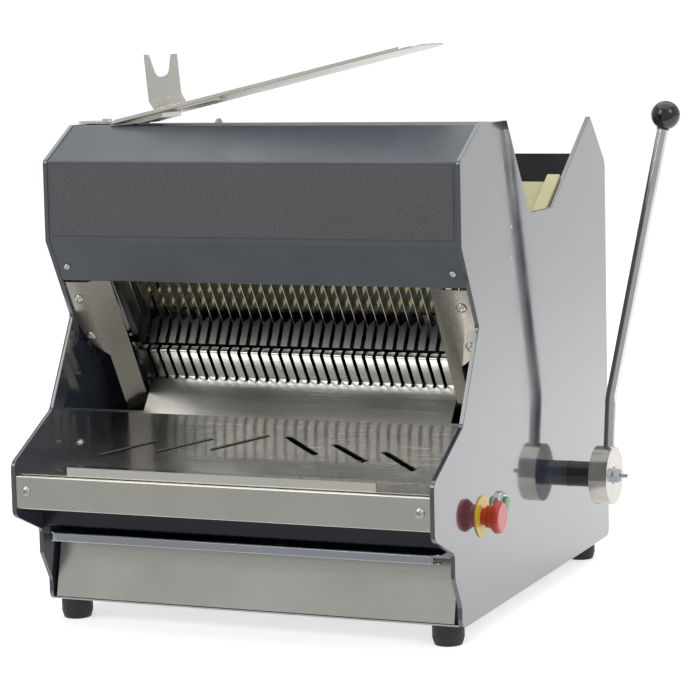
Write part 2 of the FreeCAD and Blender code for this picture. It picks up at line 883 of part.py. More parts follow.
def blades(label, face):
    """Every second blade, hooked to its frame's bars by a tab at each end."""
    solids = []
    half = size.blade_width / 2
    tab = size.bar_gap
    top, low = size.blade_top, -size.blade_bottom
    inner_top, inner_low = top - size.bar_size, low + size.bar_size
    profile = [(half, low), (half, top), (-tab, top), (-tab, inner_top), (-half, inner_top),
               (-half, inner_low), (-tab, inner_low), (-tab, low)]
    profile = [(-face * across, up) for across, up in profile]
    start = 0 if face < 0 else 1
    for centre in blade_centres()[start::2]:
        near = centre - size.blade_thickness / 2
        points = [Vector(near, *point) for point in profile]
        strip = Part.Face(Part.makePolygon(points + points[:1]))
        solids.append(lean_shape(strip.extrude(Vector(size.blade_thickness, 0, 0))))
    return solid_group(label, solids)


def strap_inner():
    """Bore of a connecting rod's ring: the eccentric's sweep, the stroke and a clearance."""
    return size.eccentric_radius + size.crank_radius + size.stroke + size.strap_clearance


def connecting_rods(label, face, offset):
    """Two rods from a frame's lower bar to the rings round the eccentrics."""
    solids = []
    inner = strap_inner()
    outer = inner + size.strap_wall
    middle = face * (size.bar_gap + size.bar_size / 2)
    low = -size.blade_bottom
    # straight down past the other frame's bar over both strokes, then slanted to the ring
    clear = 2 * size.stroke + size.bar_gap
    half = size.strap_thickness / 2
    for side in (-1, 1):
        x = side * offset
        centre = Vector(x - half, 0, -size.crank_up)
        ring = Part.makeCylinder(outer, 2 * half, centre, ALONG_X)
        arm_points = [(middle - 8, low), (middle + 8, low), (middle + 8, low - clear),
                      (11, -size.crank_up + inner + 2), (-11, -size.crank_up + inner + 2),
                      (middle - 8, low - clear)]
        flat = [Vector(x - half, *point) for point in arm_points]
        arm = Part.Face(Part.makePolygon(flat + flat[:1])).extrude(Vector(2 * half, 0, 0))
        bore = Part.makeCylinder(inner, 2 * half, centre, ALONG_X)
        solids.append(lean_shape(ring.fuse(arm).cut(bore).removeSplitter()))
    return solid_group(label, solids)


def rod_ends():
    """Lower and upper end of the blade guide rods, past the blocks' travel."""
    low = -size.blade_bottom - size.bar_size
    return low - size.holder_length / 2, size.blade_top + size.holder_length / 2


def blade_guide_rods():
    """Four ground rods that the two blade frames slide on."""
    low, high = rod_ends()
    solids = []
    x = size.frame_inner_half + size.upright_width + size.bar_size / 2
    for side in (-1, 1):
        for face in (-1, 1):
            foot = Vector(side * x, face * (size.bar_gap + size.bar_size / 2), low)
            solids.append(lean_shape(Part.makeCylinder(size.guide_rod_radius, high - low, foot)))
    return solid_group("blade_guide_rods", solids)


def rod_holders():
    """Blocks on the side plates that clamp both ends of the guide rods."""
    low, high = rod_ends()
    solids = []
    reach = size.bar_gap + size.bar_size
    x = size.frame_inner_half + size.upright_width + size.bar_size / 2
    for side in (-1, 1):
        inner = x - size.bar_size / 2 + size.slide_clearance
        edges = sorted((side * inner, side * INNER_HALF))
        for level in (low - size.holder_length / 2, high - size.holder_length / 2):
            block = Part.makeBox(edges[1] - edges[0], 2 * reach, size.holder_length,
                                 Vector(edges[0], -reach, level))
            for face in (-1, 1):
                foot = Vector(side * x, face * (size.bar_gap + size.bar_size / 2), low)
                block = block.cut(Part.makeCylinder(size.guide_rod_radius, high - low, foot))
            solids.append(lean_shape(block))
    return solid_group("rod_holders", solids)


# ---------------------------------------------------------------- pusher and its drive

def pusher_comb():
    """Cream comb behind the loaf; its fingers pass between the blades."""
    made = new_body("pusher_comb")
    sketch = new_sketch(made, "XY", "pusher_bottom")
    front = size.pusher_rest
    rear = front + size.pusher_thickness
    half_finger = size.pusher_finger_width / 2
    corners = [(-size.pusher_half, rear), (-size.pusher_half, front)]
    for centre in finger_centres()[1:-1]:
        tip = front - size.pusher_finger_length
        corners += [(centre - half_finger, front), (centre - half_finger, tip, 2),
                    (centre + half_finger, tip, 2), (centre + half_finger, front)]
    corners += [(size.pusher_half, front), (size.pusher_half, rear)]
    outline(sketch, corners)
    pad(made, sketch, "pusher_top - pusher_bottom")
    return lean_over(made)


def pusher_carriage():
    """Steel bar under the floor, its two uprights and the pins that the arms push."""
    made = new_body("pusher_carriage")
    middle = size.pusher_rest + size.pusher_thickness / 2
    half = size.carriage_bar / 2
    sketch = new_sketch(made, "YZ")
    rectangle(sketch, middle - half, middle + half, -size.carriage_up - half, -size.carriage_up + half)
    pad(made, sketch, "2 * pusher_half + 2 * upright_thickness", symmetric=True)
    for side in (-1, 1):
        upright = new_sketch(made, "YZ", f"{side} * (pusher_half + upright_thickness / 2)")
        rectangle(upright, middle - size.pusher_thickness / 2, middle + size.pusher_thickness / 2,
                  -size.carriage_up, size.pusher_top * 0.7)
        pad(made, upright, "upright_thickness", symmetric=True)
    doc.recompute()
    bores = new_sketch(made, "XZ", "-pusher_rest - pusher_thickness / 2")
    for side in (-1, 1):
        circle(bores, side * size.pusher_rod_offset, -size.carriage_up,
               "guide_rod_radius + slide_clearance")
    pocket(made, bores, "carriage_bar * 2")
    for side in (-1, 1):
        pin = new_sketch(made, "YZ", f"{side} * (pusher_half + upright_thickness)")
        circle(pin, middle, -size.carriage_up, "pin_radius")
        pad(made, pin, "arm_offset + arm_thickness / 2 + 2 - pusher_half - upright_thickness",
            backwards=side < 0)
    return lean_over(made)


def pusher_rod_span():
    front = size.rod_bracket_gap + size.bracket_thickness
    rear = size.pusher_rest + size.pusher_thickness / 2 + size.carriage_bar / 2 + 20
    return front, rear


def pusher_rods():
    """Two ground rods under the floor that the carriage slides on."""
    front, rear = pusher_rod_span()
    solids = []
    for side in (-1, 1):
        foot = Vector(side * size.pusher_rod_offset, front, -size.carriage_up)
        rod = Part.makeCylinder(size.guide_rod_radius, rear - front, foot, Vector(0, 1, 0))
        solids.append(lean_shape(rod))
    return solid_group("pusher_rods", solids)


def pusher_rod_brackets():
    """Plates that hang from the floor and hold the rods' ends."""
    front, rear = pusher_rod_span()
    width = size.rod_bracket_width
    low = -size.carriage_up - size.rod_bracket_drop
    solids = []
    for side in (-1, 1):
        x = side * size.pusher_rod_offset - width / 2
        for start, foot in ((front - size.bracket_thickness, 1), (rear, 0)):
            height = -size.sheet - low
            upright = Part.makeBox(width, size.bracket_thickness, height, Vector(x, start, low))
            reach = size.floor_front + size.rod_bracket_lap - start if foot else size.bracket_thickness
            shelf = Part.makeBox(width, reach, size.sheet, Vector(x, start, -2 * size.sheet))
            solids.append(lean_shape(upright.fuse(shelf).removeSplitter()))
    return solid_group("pusher_rod_brackets", solids)


def arm_rest_vector():
    """From the lever shaft to the pusher's pin at rest, in the slicing frame."""
    shaft = upright_frame(size.shaft_depth, size.shaft_height)
    pin = (size.pusher_rest + size.pusher_thickness / 2, -size.carriage_up)
    return pin[0] - shaft[0], pin[1] - shaft[1]


def drive_arms():
    """Two slotted arms on the lever shaft that drive the pusher's pins."""
    run, rise = arm_rest_vector()
    far = math.hypot(run, rise)
    angle = math.degrees(math.atan2(run, rise))
    slot_half = size.pin_radius + size.arm_slot_clearance
    half = slot_half + size.arm_rim
    slot_low = rise - size.pin_radius - 4
    slot_high = far + size.pin_radius + 2
    tip = slot_high + size.arm_rim
    boss = size.shaft_radius + 10
    solids = []
    for side in (-1, 1):
        near = side * size.arm_offset - size.arm_thickness / 2
        points = [(-half, slot_low - 20), (-half, tip), (half, tip), (half, slot_low - 20),
                  (boss, 0), (-boss, 0)]
        flat = [Vector(near, *point) for point in points]
        arm = Part.Face(Part.makePolygon(flat + flat[:1])).extrude(Vector(size.arm_thickness, 0, 0))
        disc = Part.makeCylinder(boss, size.arm_thickness, Vector(near, 0, 0), ALONG_X)
        slot = Part.makeBox(size.arm_thickness, 2 * slot_half, slot_high - slot_low,
                            Vector(near, -slot_half, slot_low))
        bore = Part.makeCylinder(size.shaft_radius, size.arm_thickness, Vector(near, 0, 0), ALONG_X)
        arm = arm.fuse(disc).cut(slot).cut(bore).removeSplitter()
        arm.Placement = Placement(at(0, size.shaft_depth, size.shaft_height),
                                  Rotation(ALONG_X, size.blade_tilt - angle))
        solids.append(arm)
    return solid_group("drive_arms", solids)


# ---------------------------------------------------------------- lever

HUB_START = "body_width / 2 - plate_thickness + sleeve_length + slide_clearance"


def shaft_body(label):
    """A body whose axis is the lever shaft; its own Z runs up the lever, which leans back."""
    made = new_body(label)
    made.Placement = Placement(Vector(0, 0, 0), Rotation(ALONG_X, -size.lever_lean))
    bind(made, "Placement.Base.y", "shaft_depth - origin_depth")
    bind(made, "Placement.Base.z", "shaft_height")
    return made


def lever_shaft():
    """Cross shaft: full diameter through the machine, a thinner threaded stub in the hub."""
    made = shaft_body("lever_shaft")
    start = new_sketch(made, "YZ", "-body_width / 2 + plate_thickness + slide_clearance")
    circle(start, 0, 0, "shaft_radius")
    pad(made, start, "body_width - 2 * plate_thickness + sleeve_length")
    stub = new_sketch(made, "YZ", "body_width / 2")
    circle(stub, 0, 0, "stub_radius")
    pad(made, stub, "sleeve_length - plate_thickness + hub_thickness + slide_clearance")
    thread = new_sketch(made, "YZ", HUB_START + " + hub_thickness")
    circle(thread, 0, 0, "thread_radius")
    pad(made, thread, "nut_height")
    return made


def lever_hub():
    """Turned hub on the shaft's end, bored across for the lever rod."""
    made = shaft_body("lever_hub")
    disc = new_sketch(made, "YZ", HUB_START)
    circle(disc, 0, 0, "hub_radius")
    circle(disc, 0, 0, "stub_radius")
    pad(made, disc, "hub_thickness")
    doc.recompute()
    socket = new_sketch(made, "XY", "rod_socket")
    circle(socket, rod_side(), 0, "rod_radius")
    pocket(made, socket, "hub_radius", symmetric=False, backwards=True)
    return made


def rod_side():
    """X of the lever rod in the hub, a little outside the hub's middle."""
    middle = INNER_HALF + size.sleeve_length + size.slide_clearance + size.hub_thickness / 2
    return middle + size.rod_outset


def hub_nut():
    """Washer, hexagon nut, cap and grease nipple on the shaft's thread."""
    made = shaft_body("hub_nut")
    washer = new_sketch(made, "YZ", HUB_START + " + hub_thickness")
    circle(washer, 0, 0, "thread_radius * 2")
    circle(washer, 0, 0, "thread_radius")
    pad(made, washer, "1.5")
    nut = new_sketch(made, "YZ", HUB_START + " + hub_thickness")
    across = size.thread_radius * 1.8
    outline(nut, [(across * math.cos(math.radians(60 * k)), across * math.sin(math.radians(60 * k)))
                  for k in range(6)])
    circle(nut, 0, 0, "thread_radius")
    pad(made, nut, "nut_height")
    cap = new_sketch(made, "YZ", HUB_START + " + hub_thickness + nut_height")
    circle(cap, 0, 0, "thread_radius * 1.2")
    pad(made, cap, "2")
    nipple = new_sketch(made, "YZ", HUB_START + " + hub_thickness + nut_height + 2")
    circle(nipple, 0, 0, "thread_radius * 0.5")
    pad(made, nipple, "nipple_length")
    return made


def rod_path():
    """Lever rod's centre line in the shaft body's own frame: socket, bend, ball."""
    x = rod_side()
    flare = math.radians(size.lever_flare)
    tangent = size.rod_bend_radius * math.tan(flare / 2)
    foot = Vector(x, 0, size.rod_socket)
    bend = Vector(x, 0, size.rod_bend_height)
    way = Vector(math.sin(flare), 0, math.cos(flare))
    run = (size.lever_height - size.rod_bend_height) / math.cos(flare)
    seat = size.ball_radius * 0.9 + size.collar_length
    leave = bend - Vector(0, 0, tangent)
    reach = bend + way * tangent
    end = bend + way * (run - seat)
    middle_way = (Vector(0, 0, -1) + way).normalize()
    corner = size.rod_bend_radius / math.cos(flare / 2) - size.rod_bend_radius
    middle = bend + middle_way * corner
    return foot, leave, middle, reach, end, way


def lever_rod():
    """Round bar: straight in the hub, bent outwards, straight to the ball."""
    foot, leave, middle, reach, end, way = rod_path()
    wire = Part.Wire([Part.LineSegment(foot, leave).toShape(),
                      Part.Arc(leave, middle, reach).toShape(),
                      Part.LineSegment(reach, end).toShape()])
    ring = Part.Wire([Part.makeCircle(size.rod_radius, foot, Vector(0, 0, 1))])
    rod = wire.makePipeShell([ring], True, False)
    rod.Placement = Placement(at(0, size.shaft_depth, size.shaft_height),
                              Rotation(ALONG_X, -size.lever_lean))
    return solid_group("lever_rod", [rod])


def lever_ball():
    """Black ball with a small collar, turned, at the lever's end."""
    foot, leave, middle, reach, end, way = rod_path()
    radius = size.ball_radius
    seat = radius * 0.9
    flat = math.sqrt(radius ** 2 - seat ** 2)
    made = new_body("lever_ball")
    sketch = new_sketch(made, "XZ")
    base = Vector(0, 0, 0)
    collar = size.collar_radius
    points = [base, Vector(collar, 0, 0), Vector(collar, size.collar_length, 0),
              Vector(flat, size.collar_length, 0)]
    for first, second in zip(points, points[1:]):
        sketch.addGeometry(Part.LineSegment(first, second))
    centre = size.collar_length + seat
    sketch.addGeometry(Part.Arc(points[-1], Vector(radius, centre, 0), Vector(0, centre + radius, 0)))
    sketch.addGeometry(Part.LineSegment(Vector(0, centre + radius, 0), base))
    turned(made, sketch, "Z_Axis")
    lean = Rotation(ALONG_X, -size.lever_lean)
    made.Placement = Placement(at(0, size.shaft_depth, size.shaft_height) + lean.multVec(end),
                               lean * Rotation(Vector(0, 1, 0), size.lever_flare))
    return made


def lever_bearings():
    """Flanged bearings inside the side plates and the black sleeve outside the right one."""
    radius = size.shaft_radius + size.running_clearance
    solids = []
    for side in (-1, 1):
        start = at(side * INNER_HALF, size.shaft_depth, size.shaft_height)
        inward = Vector(-side, 0, 0)
        flange = Part.makeCylinder(size.bearing_radius, 5, start, inward)
        hub = Part.makeCylinder(size.bearing_radius * 0.75, size.bearing_thickness, start, inward)
        bore = Part.makeCylinder(radius, size.bearing_thickness, start, inward)
        solids.append(flange.fuse(hub).cut(bore).removeSplitter())
    return solid_group("lever_bearings", solids)


def shaft_sleeve():
    """Black plastic sleeve through the right plate, up to the hub."""
    made = new_body("shaft_sleeve")
    sketch = new_sketch(made, "YZ", "body_width / 2 - plate_thickness")
    circle(sketch, size.shaft_depth - size.origin_depth, size.shaft_height, "sleeve_radius")
    circle(sketch, size.shaft_depth - size.origin_depth, size.shaft_height,
           "shaft_radius + running_clearance")
    pad(made, sketch, "sleeve_length")
    return made


# ---------------------------------------------------------------- motor and crankshaft

def crank_centre():
    return leaned(0, -size.crank_up)


def crankshaft():
    """Shaft with four eccentric discs, two for each blade frame, opposed."""
    made = new_body("crankshaft")
    depth, height = crank_centre()
    v = depth - size.origin_depth
    journal = new_sketch(made, "YZ")
    circle(journal, v, height, "stub_radius")
    pad(made, journal, "body_width - 2 * plate_thickness - 4", symmetric=True)
    for face, offset in ((1, "front_strap_offset"), (-1, "rear_strap_offset")):
        for side in (-1, 1):
            disc = new_sketch(made, "YZ", f"{side} * {offset}")
            circle(disc, v + face * size.crank_radius * math.cos(TILT),
                   height + face * size.crank_radius * math.sin(TILT), "eccentric_radius")
            pad(made, disc, "eccentric_thickness", symmetric=True)
    return made


def crank_bearings():
    """Bearing blocks on the side plates for the crankshaft."""
    depth, height = crank_centre()
    solids = []
    for side in (-1, 1):
        start = at(side * INNER_HALF, depth, height)
        inward = Vector(-side, 0, 0)
        thick = size.crank_bearing_thickness
        block = Part.makeCylinder(size.crank_bearing_radius, thick, start, inward)
        bore = Part.makeCylinder(size.stub_radius + size.running_clearance, thick, start, inward)
        solids.append(block.cut(bore))
    return solid_group("crank_bearings", solids)


def pulley(label, depth, height, radius, stub_to=None):
    """Grooved pulley, bored for its shaft or carrying a stub of it."""
    made = new_body(label)
    floor = f"{radius} - groove_depth"
    u = depth - size.origin_depth
    flange = "(pulley_width - groove_width) / 2"
    layers = [(f"-pulley_side - groove_width / 2 - {flange} / 2", radius, flange),
              ("-pulley_side", floor, "groove_width"),
              (f"-pulley_side + groove_width / 2 + {flange} / 2", radius, flange)]
    for offset, rim, width in layers:
        disc = new_sketch(made, "YZ", offset)
        circle(disc, u, height, rim)
        if stub_to is None:
            circle(disc, u, height, "stub_radius")
        pad(made, disc, width, symmetric=True)
    if stub_to is not None:
        stub = new_sketch(made, "YZ", "-pulley_side")
        circle(stub, u, height, "stub_radius * 0.7")
        pad(made, stub, stub_to)
    return made


def motor():
    """Electric motor: round housing, end shields, cooling ribs' envelope and a flat foot."""
    made = new_body("motor")
    u = size.motor_depth - size.origin_depth
    housing = new_sketch(made, "YZ", "-motor_start")
    circle(housing, u, size.motor_height, "motor_radius")
    pad(made, housing, "motor_length")
    foot = new_sketch(made, "YZ", "-motor_start + 40")
    low = size.foot_height + size.sheet
    rectangle(foot, u - size.motor_radius * 0.8, u + size.motor_radius * 0.8, low, low + 40)
    pad(made, foot, "motor_length - 80")
    doc.recompute()
    bore = new_sketch(made, "YZ", "-motor_start")
    circle(bore, u, size.motor_height, "stub_radius * 0.7 + running_clearance")
    pocket(made, bore, "15", symmetric=False, backwards=True)
    return made


def drive_belt():
    """Belt round both pulleys, lying in their grooves."""
    crank_depth, crank_height = crank_centre()
    first = Vector(crank_depth - size.origin_depth, crank_height, 0)
    second = Vector(size.motor_depth - size.origin_depth, size.motor_height, 0)
    line = second - first
    near_radius = size.crank_pulley_radius - size.groove_depth + size.belt_clearance
    far_radius = size.motor_pulley_radius - size.groove_depth + size.belt_clearance
    tilt = math.acos((near_radius - far_radius) / line.Length)
    base = math.atan2(line.y, line.x)
    loops = []
    for grow in (0, size.groove_depth):
        big, small = near_radius + grow, far_radius + grow
        ends = []
        for turn in (tilt, -tilt):
            way = Vector(math.cos(base + turn), math.sin(base + turn), 0)
            ends.append((first + way * big, second + way * small))
        back = Vector(-math.cos(base), -math.sin(base), 0)
        edges = [Part.LineSegment(ends[0][0], ends[0][1]).toShape(),
                 Part.Arc(ends[0][1], second - back * small, ends[1][1]).toShape(),
                 Part.LineSegment(ends[1][1], ends[1][0]).toShape(),
                 Part.Arc(ends[1][0], first + back * big, ends[0][0]).toShape()]
        loops.append(Part.Face(Part.Wire(edges)))
    band = loops[1].cut(loops[0]).extrude(Vector(0, 0, size.belt_width))
    # the loop is drawn flat in XY, then stood up so that its own X, Y, Z become Y, Z, X
    band.Placement = Placement(Vector(-size.pulley_side - size.belt_width / 2, 0, 0),
                               Rotation(Vector(1, 1, 1), 120))
    return solid_group("drive_belt", [band.Solids[0]])


# ---------------------------------------------------------------- crumb drawer

def crumb_drawer():
    """Open tray with a front that slants in towards the top."""
    made = new_body("crumb_drawer")
    front = size.drawer_front_depth
    rear = front + size.drawer_length
    wall = size.drawer_wall
    low = size.drawer_floor
    toe = size.toe_depth + 0.5
    slope = (front - toe) / (size.drawer_front_top - low)
    body = new_sketch(made, "YZ")
    side_outline(body, [(front, size.drawer_front_top), (toe, low), (rear, low), (rear, size.drawer_side_top),
                        (front + wall, size.drawer_side_top), (front + wall, size.drawer_front_top)])
    pad(made, body, "body_width - 2 * plate_thickness - 2 * drawer_gap", symmetric=True)
    doc.recompute()
    hollow = new_sketch(made, "YZ")
    side_outline(hollow, [(front + wall + 5 * slope, size.drawer_front_top + 5),
                          (toe + wall + wall * slope, low + wall),
                          (rear - wall, low + wall), (rear - wall, size.drawer_front_top + 5)])
    pocket(made, hollow, "body_width - 2 * plate_thickness - 2 * drawer_gap - 2 * drawer_wall")
    return made


def drawer_handle():
    """Full-width grip: a folded strip that stands out from the drawer's front."""
    front = size.handle_depth
    rear = size.drawer_front_depth + size.drawer_wall
    high = size.handle_top
    low = high - size.handle_height
    path = [(rear, size.drawer_front_top), (rear, high), (front, high), (front, low), (front + 12, low)]
    profile = bent_sheet(path, size.drawer_wall, 1)
    made = slab("drawer_handle", profile, "2 * handle_half")
    doc.recompute()
    # rounded ends in plan
    for side in (-1, 1):
        corner = new_sketch(made, "XY", "handle_top + 1")
        radius = 14
        x = side * size.handle_half
        y = front - size.origin_depth
        far = Vector(x, y + radius, 0)
        near = Vector(x - side * radius, y, 0)
        turn = radius * (1 - math.sqrt(0.5))
        middle = Vector(x - side * turn, y + turn, 0)
        corner.addGeometry(Part.Arc(far, middle, near))
        outside = Vector(x + side * 2, y - 2, 0)
        corner.addGeometry(Part.LineSegment(near, Vector(near.x, outside.y, 0)))
        corner.addGeometry(Part.LineSegment(Vector(near.x, outside.y, 0), outside))
        corner.addGeometry(Part.LineSegment(outside, Vector(outside.x, far.y, 0)))
        corner.addGeometry(Part.LineSegment(Vector(outside.x, far.y, 0), far))
        pocket(made, corner, "handle_height + 4", symmetric=False)
    return made


def drawer_runners():
    """Angle rails on the side plates that the drawer's floor slides on."""
    solids = []
    front = size.drawer_front_depth + 4
    length = size.drawer_length - 10
    high = size.drawer_floor - size.slide_clearance
    low = size.foot_height + size.sheet
    for side in (-1, 1):
        edges = sorted((side * INNER_HALF, side * (INNER_HALF - 16)))
        rail = Part.makeBox(16, length, high - low, at(edges[0], front, low))
        wall_edges = sorted((side * INNER_HALF, side * (INNER_HALF - 2)))
        upright = Part.makeBox(2, length, 30, at(wall_edges[0], front, low))
        solids.append(rail.fuse(upright).removeSplitter())
    return solid_group("drawer_runners", solids)


# ---------------------------------------------------------------- controls

def stop_ring():
    """Yellow disc round the emergency stop button."""
    made = new_body("stop_ring")
    u = size.stop_depth - size.origin_depth
    sketch = new_sketch(made, "YZ", "body_width / 2")
    circle(sketch, u, size.stop_height, "stop_ring_radius")
    circle(sketch, u, size.stop_height, "start_radius")
    pad(made, sketch, "1.6")
    return made


def stop_block():
    """Contact block behind the emergency stop, bored for the button's stem."""
    made = new_body("stop_block")
    u = size.stop_depth - size.origin_depth
    sketch = new_sketch(made, "YZ", "body_width / 2 - plate_thickness")
    rectangle(sketch, u - 16, u + 16, size.stop_height - 20, size.stop_height + 20, 2)
    pad(made, sketch, "block_length", backwards=True)
    doc.recompute()
    bore = new_sketch(made, "YZ", "body_width / 2 - plate_thickness")
    circle(bore, u, size.stop_height, "start_radius + slide_clearance")
    pocket(made, bore, "stop_travel + 2", symmetric=False)
    return made


def button_body(label, depth, height):
    """A body turned about an axis along X through the button's centre, from the plate outwards."""
    made = new_body(label)
    made.Placement = Placement(at(OUTER_HALF, depth, height), Rotation())
    return made


def stop_button():
    """Red mushroom button on its stem."""
    made = button_body("stop_button", size.stop_depth, size.stop_height)
    sketch = new_sketch(made, "XY")
    neck, head, length = size.stop_neck_radius, size.stop_head_radius, size.stop_length
    stem = size.start_radius - 0.4
    gap = 1.6 + size.stop_travel + 0.4
    outline(sketch, [(-size.plate_thickness, 0), (-size.plate_thickness, stem), (gap, stem), (gap, neck),
                     (length * 0.45, neck * 1.05), (length * 0.72, head, 2), (length, head * 0.97, 4),
                     (length, 0)])
    turned(made, sketch, "X_Axis")
    return made


def start_bezel():
    """Chromed collar of the start button."""
    made = button_body("start_bezel", size.start_depth, size.start_height)
    sketch = new_sketch(made, "XY")
    inner = size.start_radius
    outline(sketch, [(0, inner), (0, size.bezel_radius), (4, size.bezel_radius, 1.5),
                     (7, inner + 2, 1), (7, inner)])
    turned(made, sketch, "X_Axis")
    return made


def start_button():
    """Green push button inside its collar."""
    made = button_body("start_button", size.start_depth, size.start_height)
    sketch = new_sketch(made, "XY")
    radius = size.start_radius - 0.4
    outline(sketch, [(-size.plate_thickness, 0), (-size.plate_thickness, radius),
                     (11, radius, 1.5), (12, 0)])
    turned(made, sketch, "X_Axis")
    return made


def cord_gland():
    """Cable gland at the back, low on the right."""
    made = new_body("cord_gland")
    made.Placement = Placement(at(size.gland_side, size.body_depth - 8, 70), Rotation())
    sketch = new_sketch(made, "XY")
    outline(sketch, [(4, 0), (11, 0), (11, 6), (8, 8), (8, 16, 2), (4, 16)])
    turned(made, sketch, "Y_Axis")
    return made


# ---------------------------------------------------------------- feet and screws

def feet():
    """Four rubber feet under the base tray."""
    radius, height = size.foot_radius, size.foot_height
    solids = []
    for side in (-1, 1):
        for depth in (size.front_foot_depth, size.body_depth - size.rear_foot_inset):
            base = at(side * size.foot_side, depth, 0)
            lower = Part.makeCone(radius * 0.86, radius, height * 0.35, base)
            upper = Part.makeCylinder(radius, height * 0.65, base + Vector(0, 0, height * 0.35))
            solids.append(lower.fuse(upper).removeSplitter())
    return solid_group("feet", solids)


def plate_screws():
    """Pan-head screws in the hood, the fascia and the table, and small ones in the side plates."""
    slope = Vector(0, size.waist_depth - size.face_depth, size.waist_height - size.face_bottom).normalize()
    outward = Vector(0, slope.z, -slope.y)
    side_x = INNER_HALF - size.screw_inset
    rise = (size.ramp_foot_height - size.ledge_height) / (size.ramp_foot_depth - size.ledge_depth)
    table_up = Vector(0, -rise, 1).normalize()
    skin = size.sheet * math.hypot(1, rise)
    seat = size.ledge_height - size.sheet + skin + rise * (size.table_screw_depth - size.ledge_depth)
    head = (size.screw_radius, size.screw_height)
    small_head = (size.small_screw_radius, size.small_screw_height)
    solids = []
    for side in (-1, 1):
        hood_edge = at(side * side_x, size.face_depth + size.housing_inset, size.face_bottom)
        solids.append(dome_screw(hood_edge + slope * size.hood_screw_along, outward, *head))
        fascia = at(side * side_x, size.ledge_front - 3, size.fascia_screw_height)
        solids.append(dome_screw(fascia, Vector(0, -1, 0), *head))
        table = at(side * side_x, size.table_screw_depth, seat)
        solids.append(dome_screw(table, table_up, *head))
        for across, up in PLATE_SCREWS:
            plate = at(side * OUTER_HALF, *leaned(across, up))
            solids.append(dome_screw(plate, Vector(side, 0, 0), *small_head))
    return solid_group("plate_screws", solids)


# small side plate screws over the blades, in the slicing frame
PLATE_SCREWS = [(88, 88), (62, 59)]


def trim_screws():
    """Two pan-head screws in each outlet trim's flange."""
    tilt = math.radians(size.trim_tilt)
    down = Vector(0, math.sin(tilt), -math.cos(tilt))
    forward = Vector(0, -math.cos(tilt), -math.sin(tilt))
    solids = []
    for side in (-1, 1):
        top = at(side * (INNER_HALF - size.screw_inset), size.trim_top_depth, size.trim_top_height)
        for along in (size.trim_screw_first, size.trim_screw_second):
            solids.append(dome_screw(top + down * along, forward, size.screw_radius, size.screw_height))
    return solid_group("trim_screws", solids)


# ---------------------------------------------------------------- bagging scoop

def scoop_pivot():
    """Round stand on the hood that the scoop swivels on."""
    made = new_body("scoop_pivot")
    made.Placement = Placement(at(-size.scoop_pivot_side, size.scoop_pivot_depth,
                                  size.top_height - size.housing_inset), Rotation())
    disc = new_sketch(made, "XY")
    circle(disc, 0, 0, "scoop_pivot_radius")
    pad(made, disc, "scoop_pivot_height")
    post = new_sketch(made, "XY", "scoop_pivot_height")
    circle(post, 0, 0, "pin_radius")
    pad(made, post, "pivot_pin_length - slide_clearance")
    return made


def scoop_stop():
    """Rounded plate with a screw on the hood's left corner, beside the scoop's low end."""
    made = new_body("scoop_stop")
    made.Placement = Placement(at(-INNER_HALF + 10, size.scoop_pivot_depth, size.top_height), Rotation())
    plate = new_sketch(made, "XY")
    rectangle(plate, -28, 30, -18, 18, 16)
    pad(made, plate, "3")
    knob = new_sketch(made, "XY", "3")
    circle(knob, 12, 0, "screw_radius")
    pad(made, knob, "3")
    return made


def scoop_origin():
    """Point of the scoop's underside right over the pivot."""
    height = size.top_height - size.housing_inset + size.scoop_height
    return at(-size.scoop_pivot_side, size.scoop_pivot_depth, height)


def scoop_placed(body):
    body.Placement = Placement(scoop_origin(), Rotation(Vector(0, 1, 0), -size.scoop_tilt))
    return body


def scoop_plate():
    """Sloping tray with upturned long edges and a rounded nose."""
    made = scoop_placed(new_body("scoop_plate"))
    half = size.scoop_width / 2
    start, end = -size.scoop_before, size.scoop_after
    nose = end + size.scoop_nose
    round_nose = size.scoop_nose * 0.9
    base = new_sketch(made, "XY")
    outline(base, [(start, -half, 10), (nose, -half, round_nose),
                   (nose, half, round_nose), (start, half, 10)])
    pad(made, base, "sheet")
    for side in (-1, 1):
        rim = new_sketch(made, "XY")
        edges = sorted((side * half, side * (half - size.sheet)))
        rectangle(rim, start + 12, end, *edges)
        pad(made, rim, "scoop_rim")
    return made


def scoop_bracket():
    """Folded bracket under the scoop's low end that turns on the pivot."""
    made = new_body("scoop_bracket")
    origin = scoop_origin()
    low = size.top_height - size.housing_inset + size.scoop_pivot_height + size.slide_clearance
    made.Placement = Placement(Vector(origin.x, origin.y, 0), Rotation())
    slope = math.tan(math.radians(size.scoop_tilt))
    left = -size.scoop_pivot_radius
    right = size.bracket_width - size.scoop_pivot_radius
    side = new_sketch(made, "XZ")
    right_top = origin.z + right * slope
    outline(side, [(left, low), (size.scoop_pivot_radius, low), (right, right_top - size.bracket_drop),
                   (right, right_top), (left, origin.z + left * slope)])
    pad(made, side, "bracket_width", symmetric=True)
    doc.recompute()
    bore = new_sketch(made, "XY", "top_height - housing_inset")
    circle(bore, 0, 0, "pin_radius + running_clearance")
    pocket(made, bore, "scoop_pivot_height + pivot_pin_length", symmetric=False, backwards=True)
    return made


def scoop_stiffener():
    """Flat strip under the scoop's front edge."""
    made = scoop_placed(new_body("scoop_stiffener"))
    start = size.scoop_before + size.bracket_width
    edge = -size.scoop_width / 2
    sketch = new_sketch(made, "XY", "-stiffener_thickness")
    rectangle(sketch, start, start + size.bracket_width, edge + 2, edge + 26, 3)
    pad(made, sketch, "stiffener_thickness")
    return made


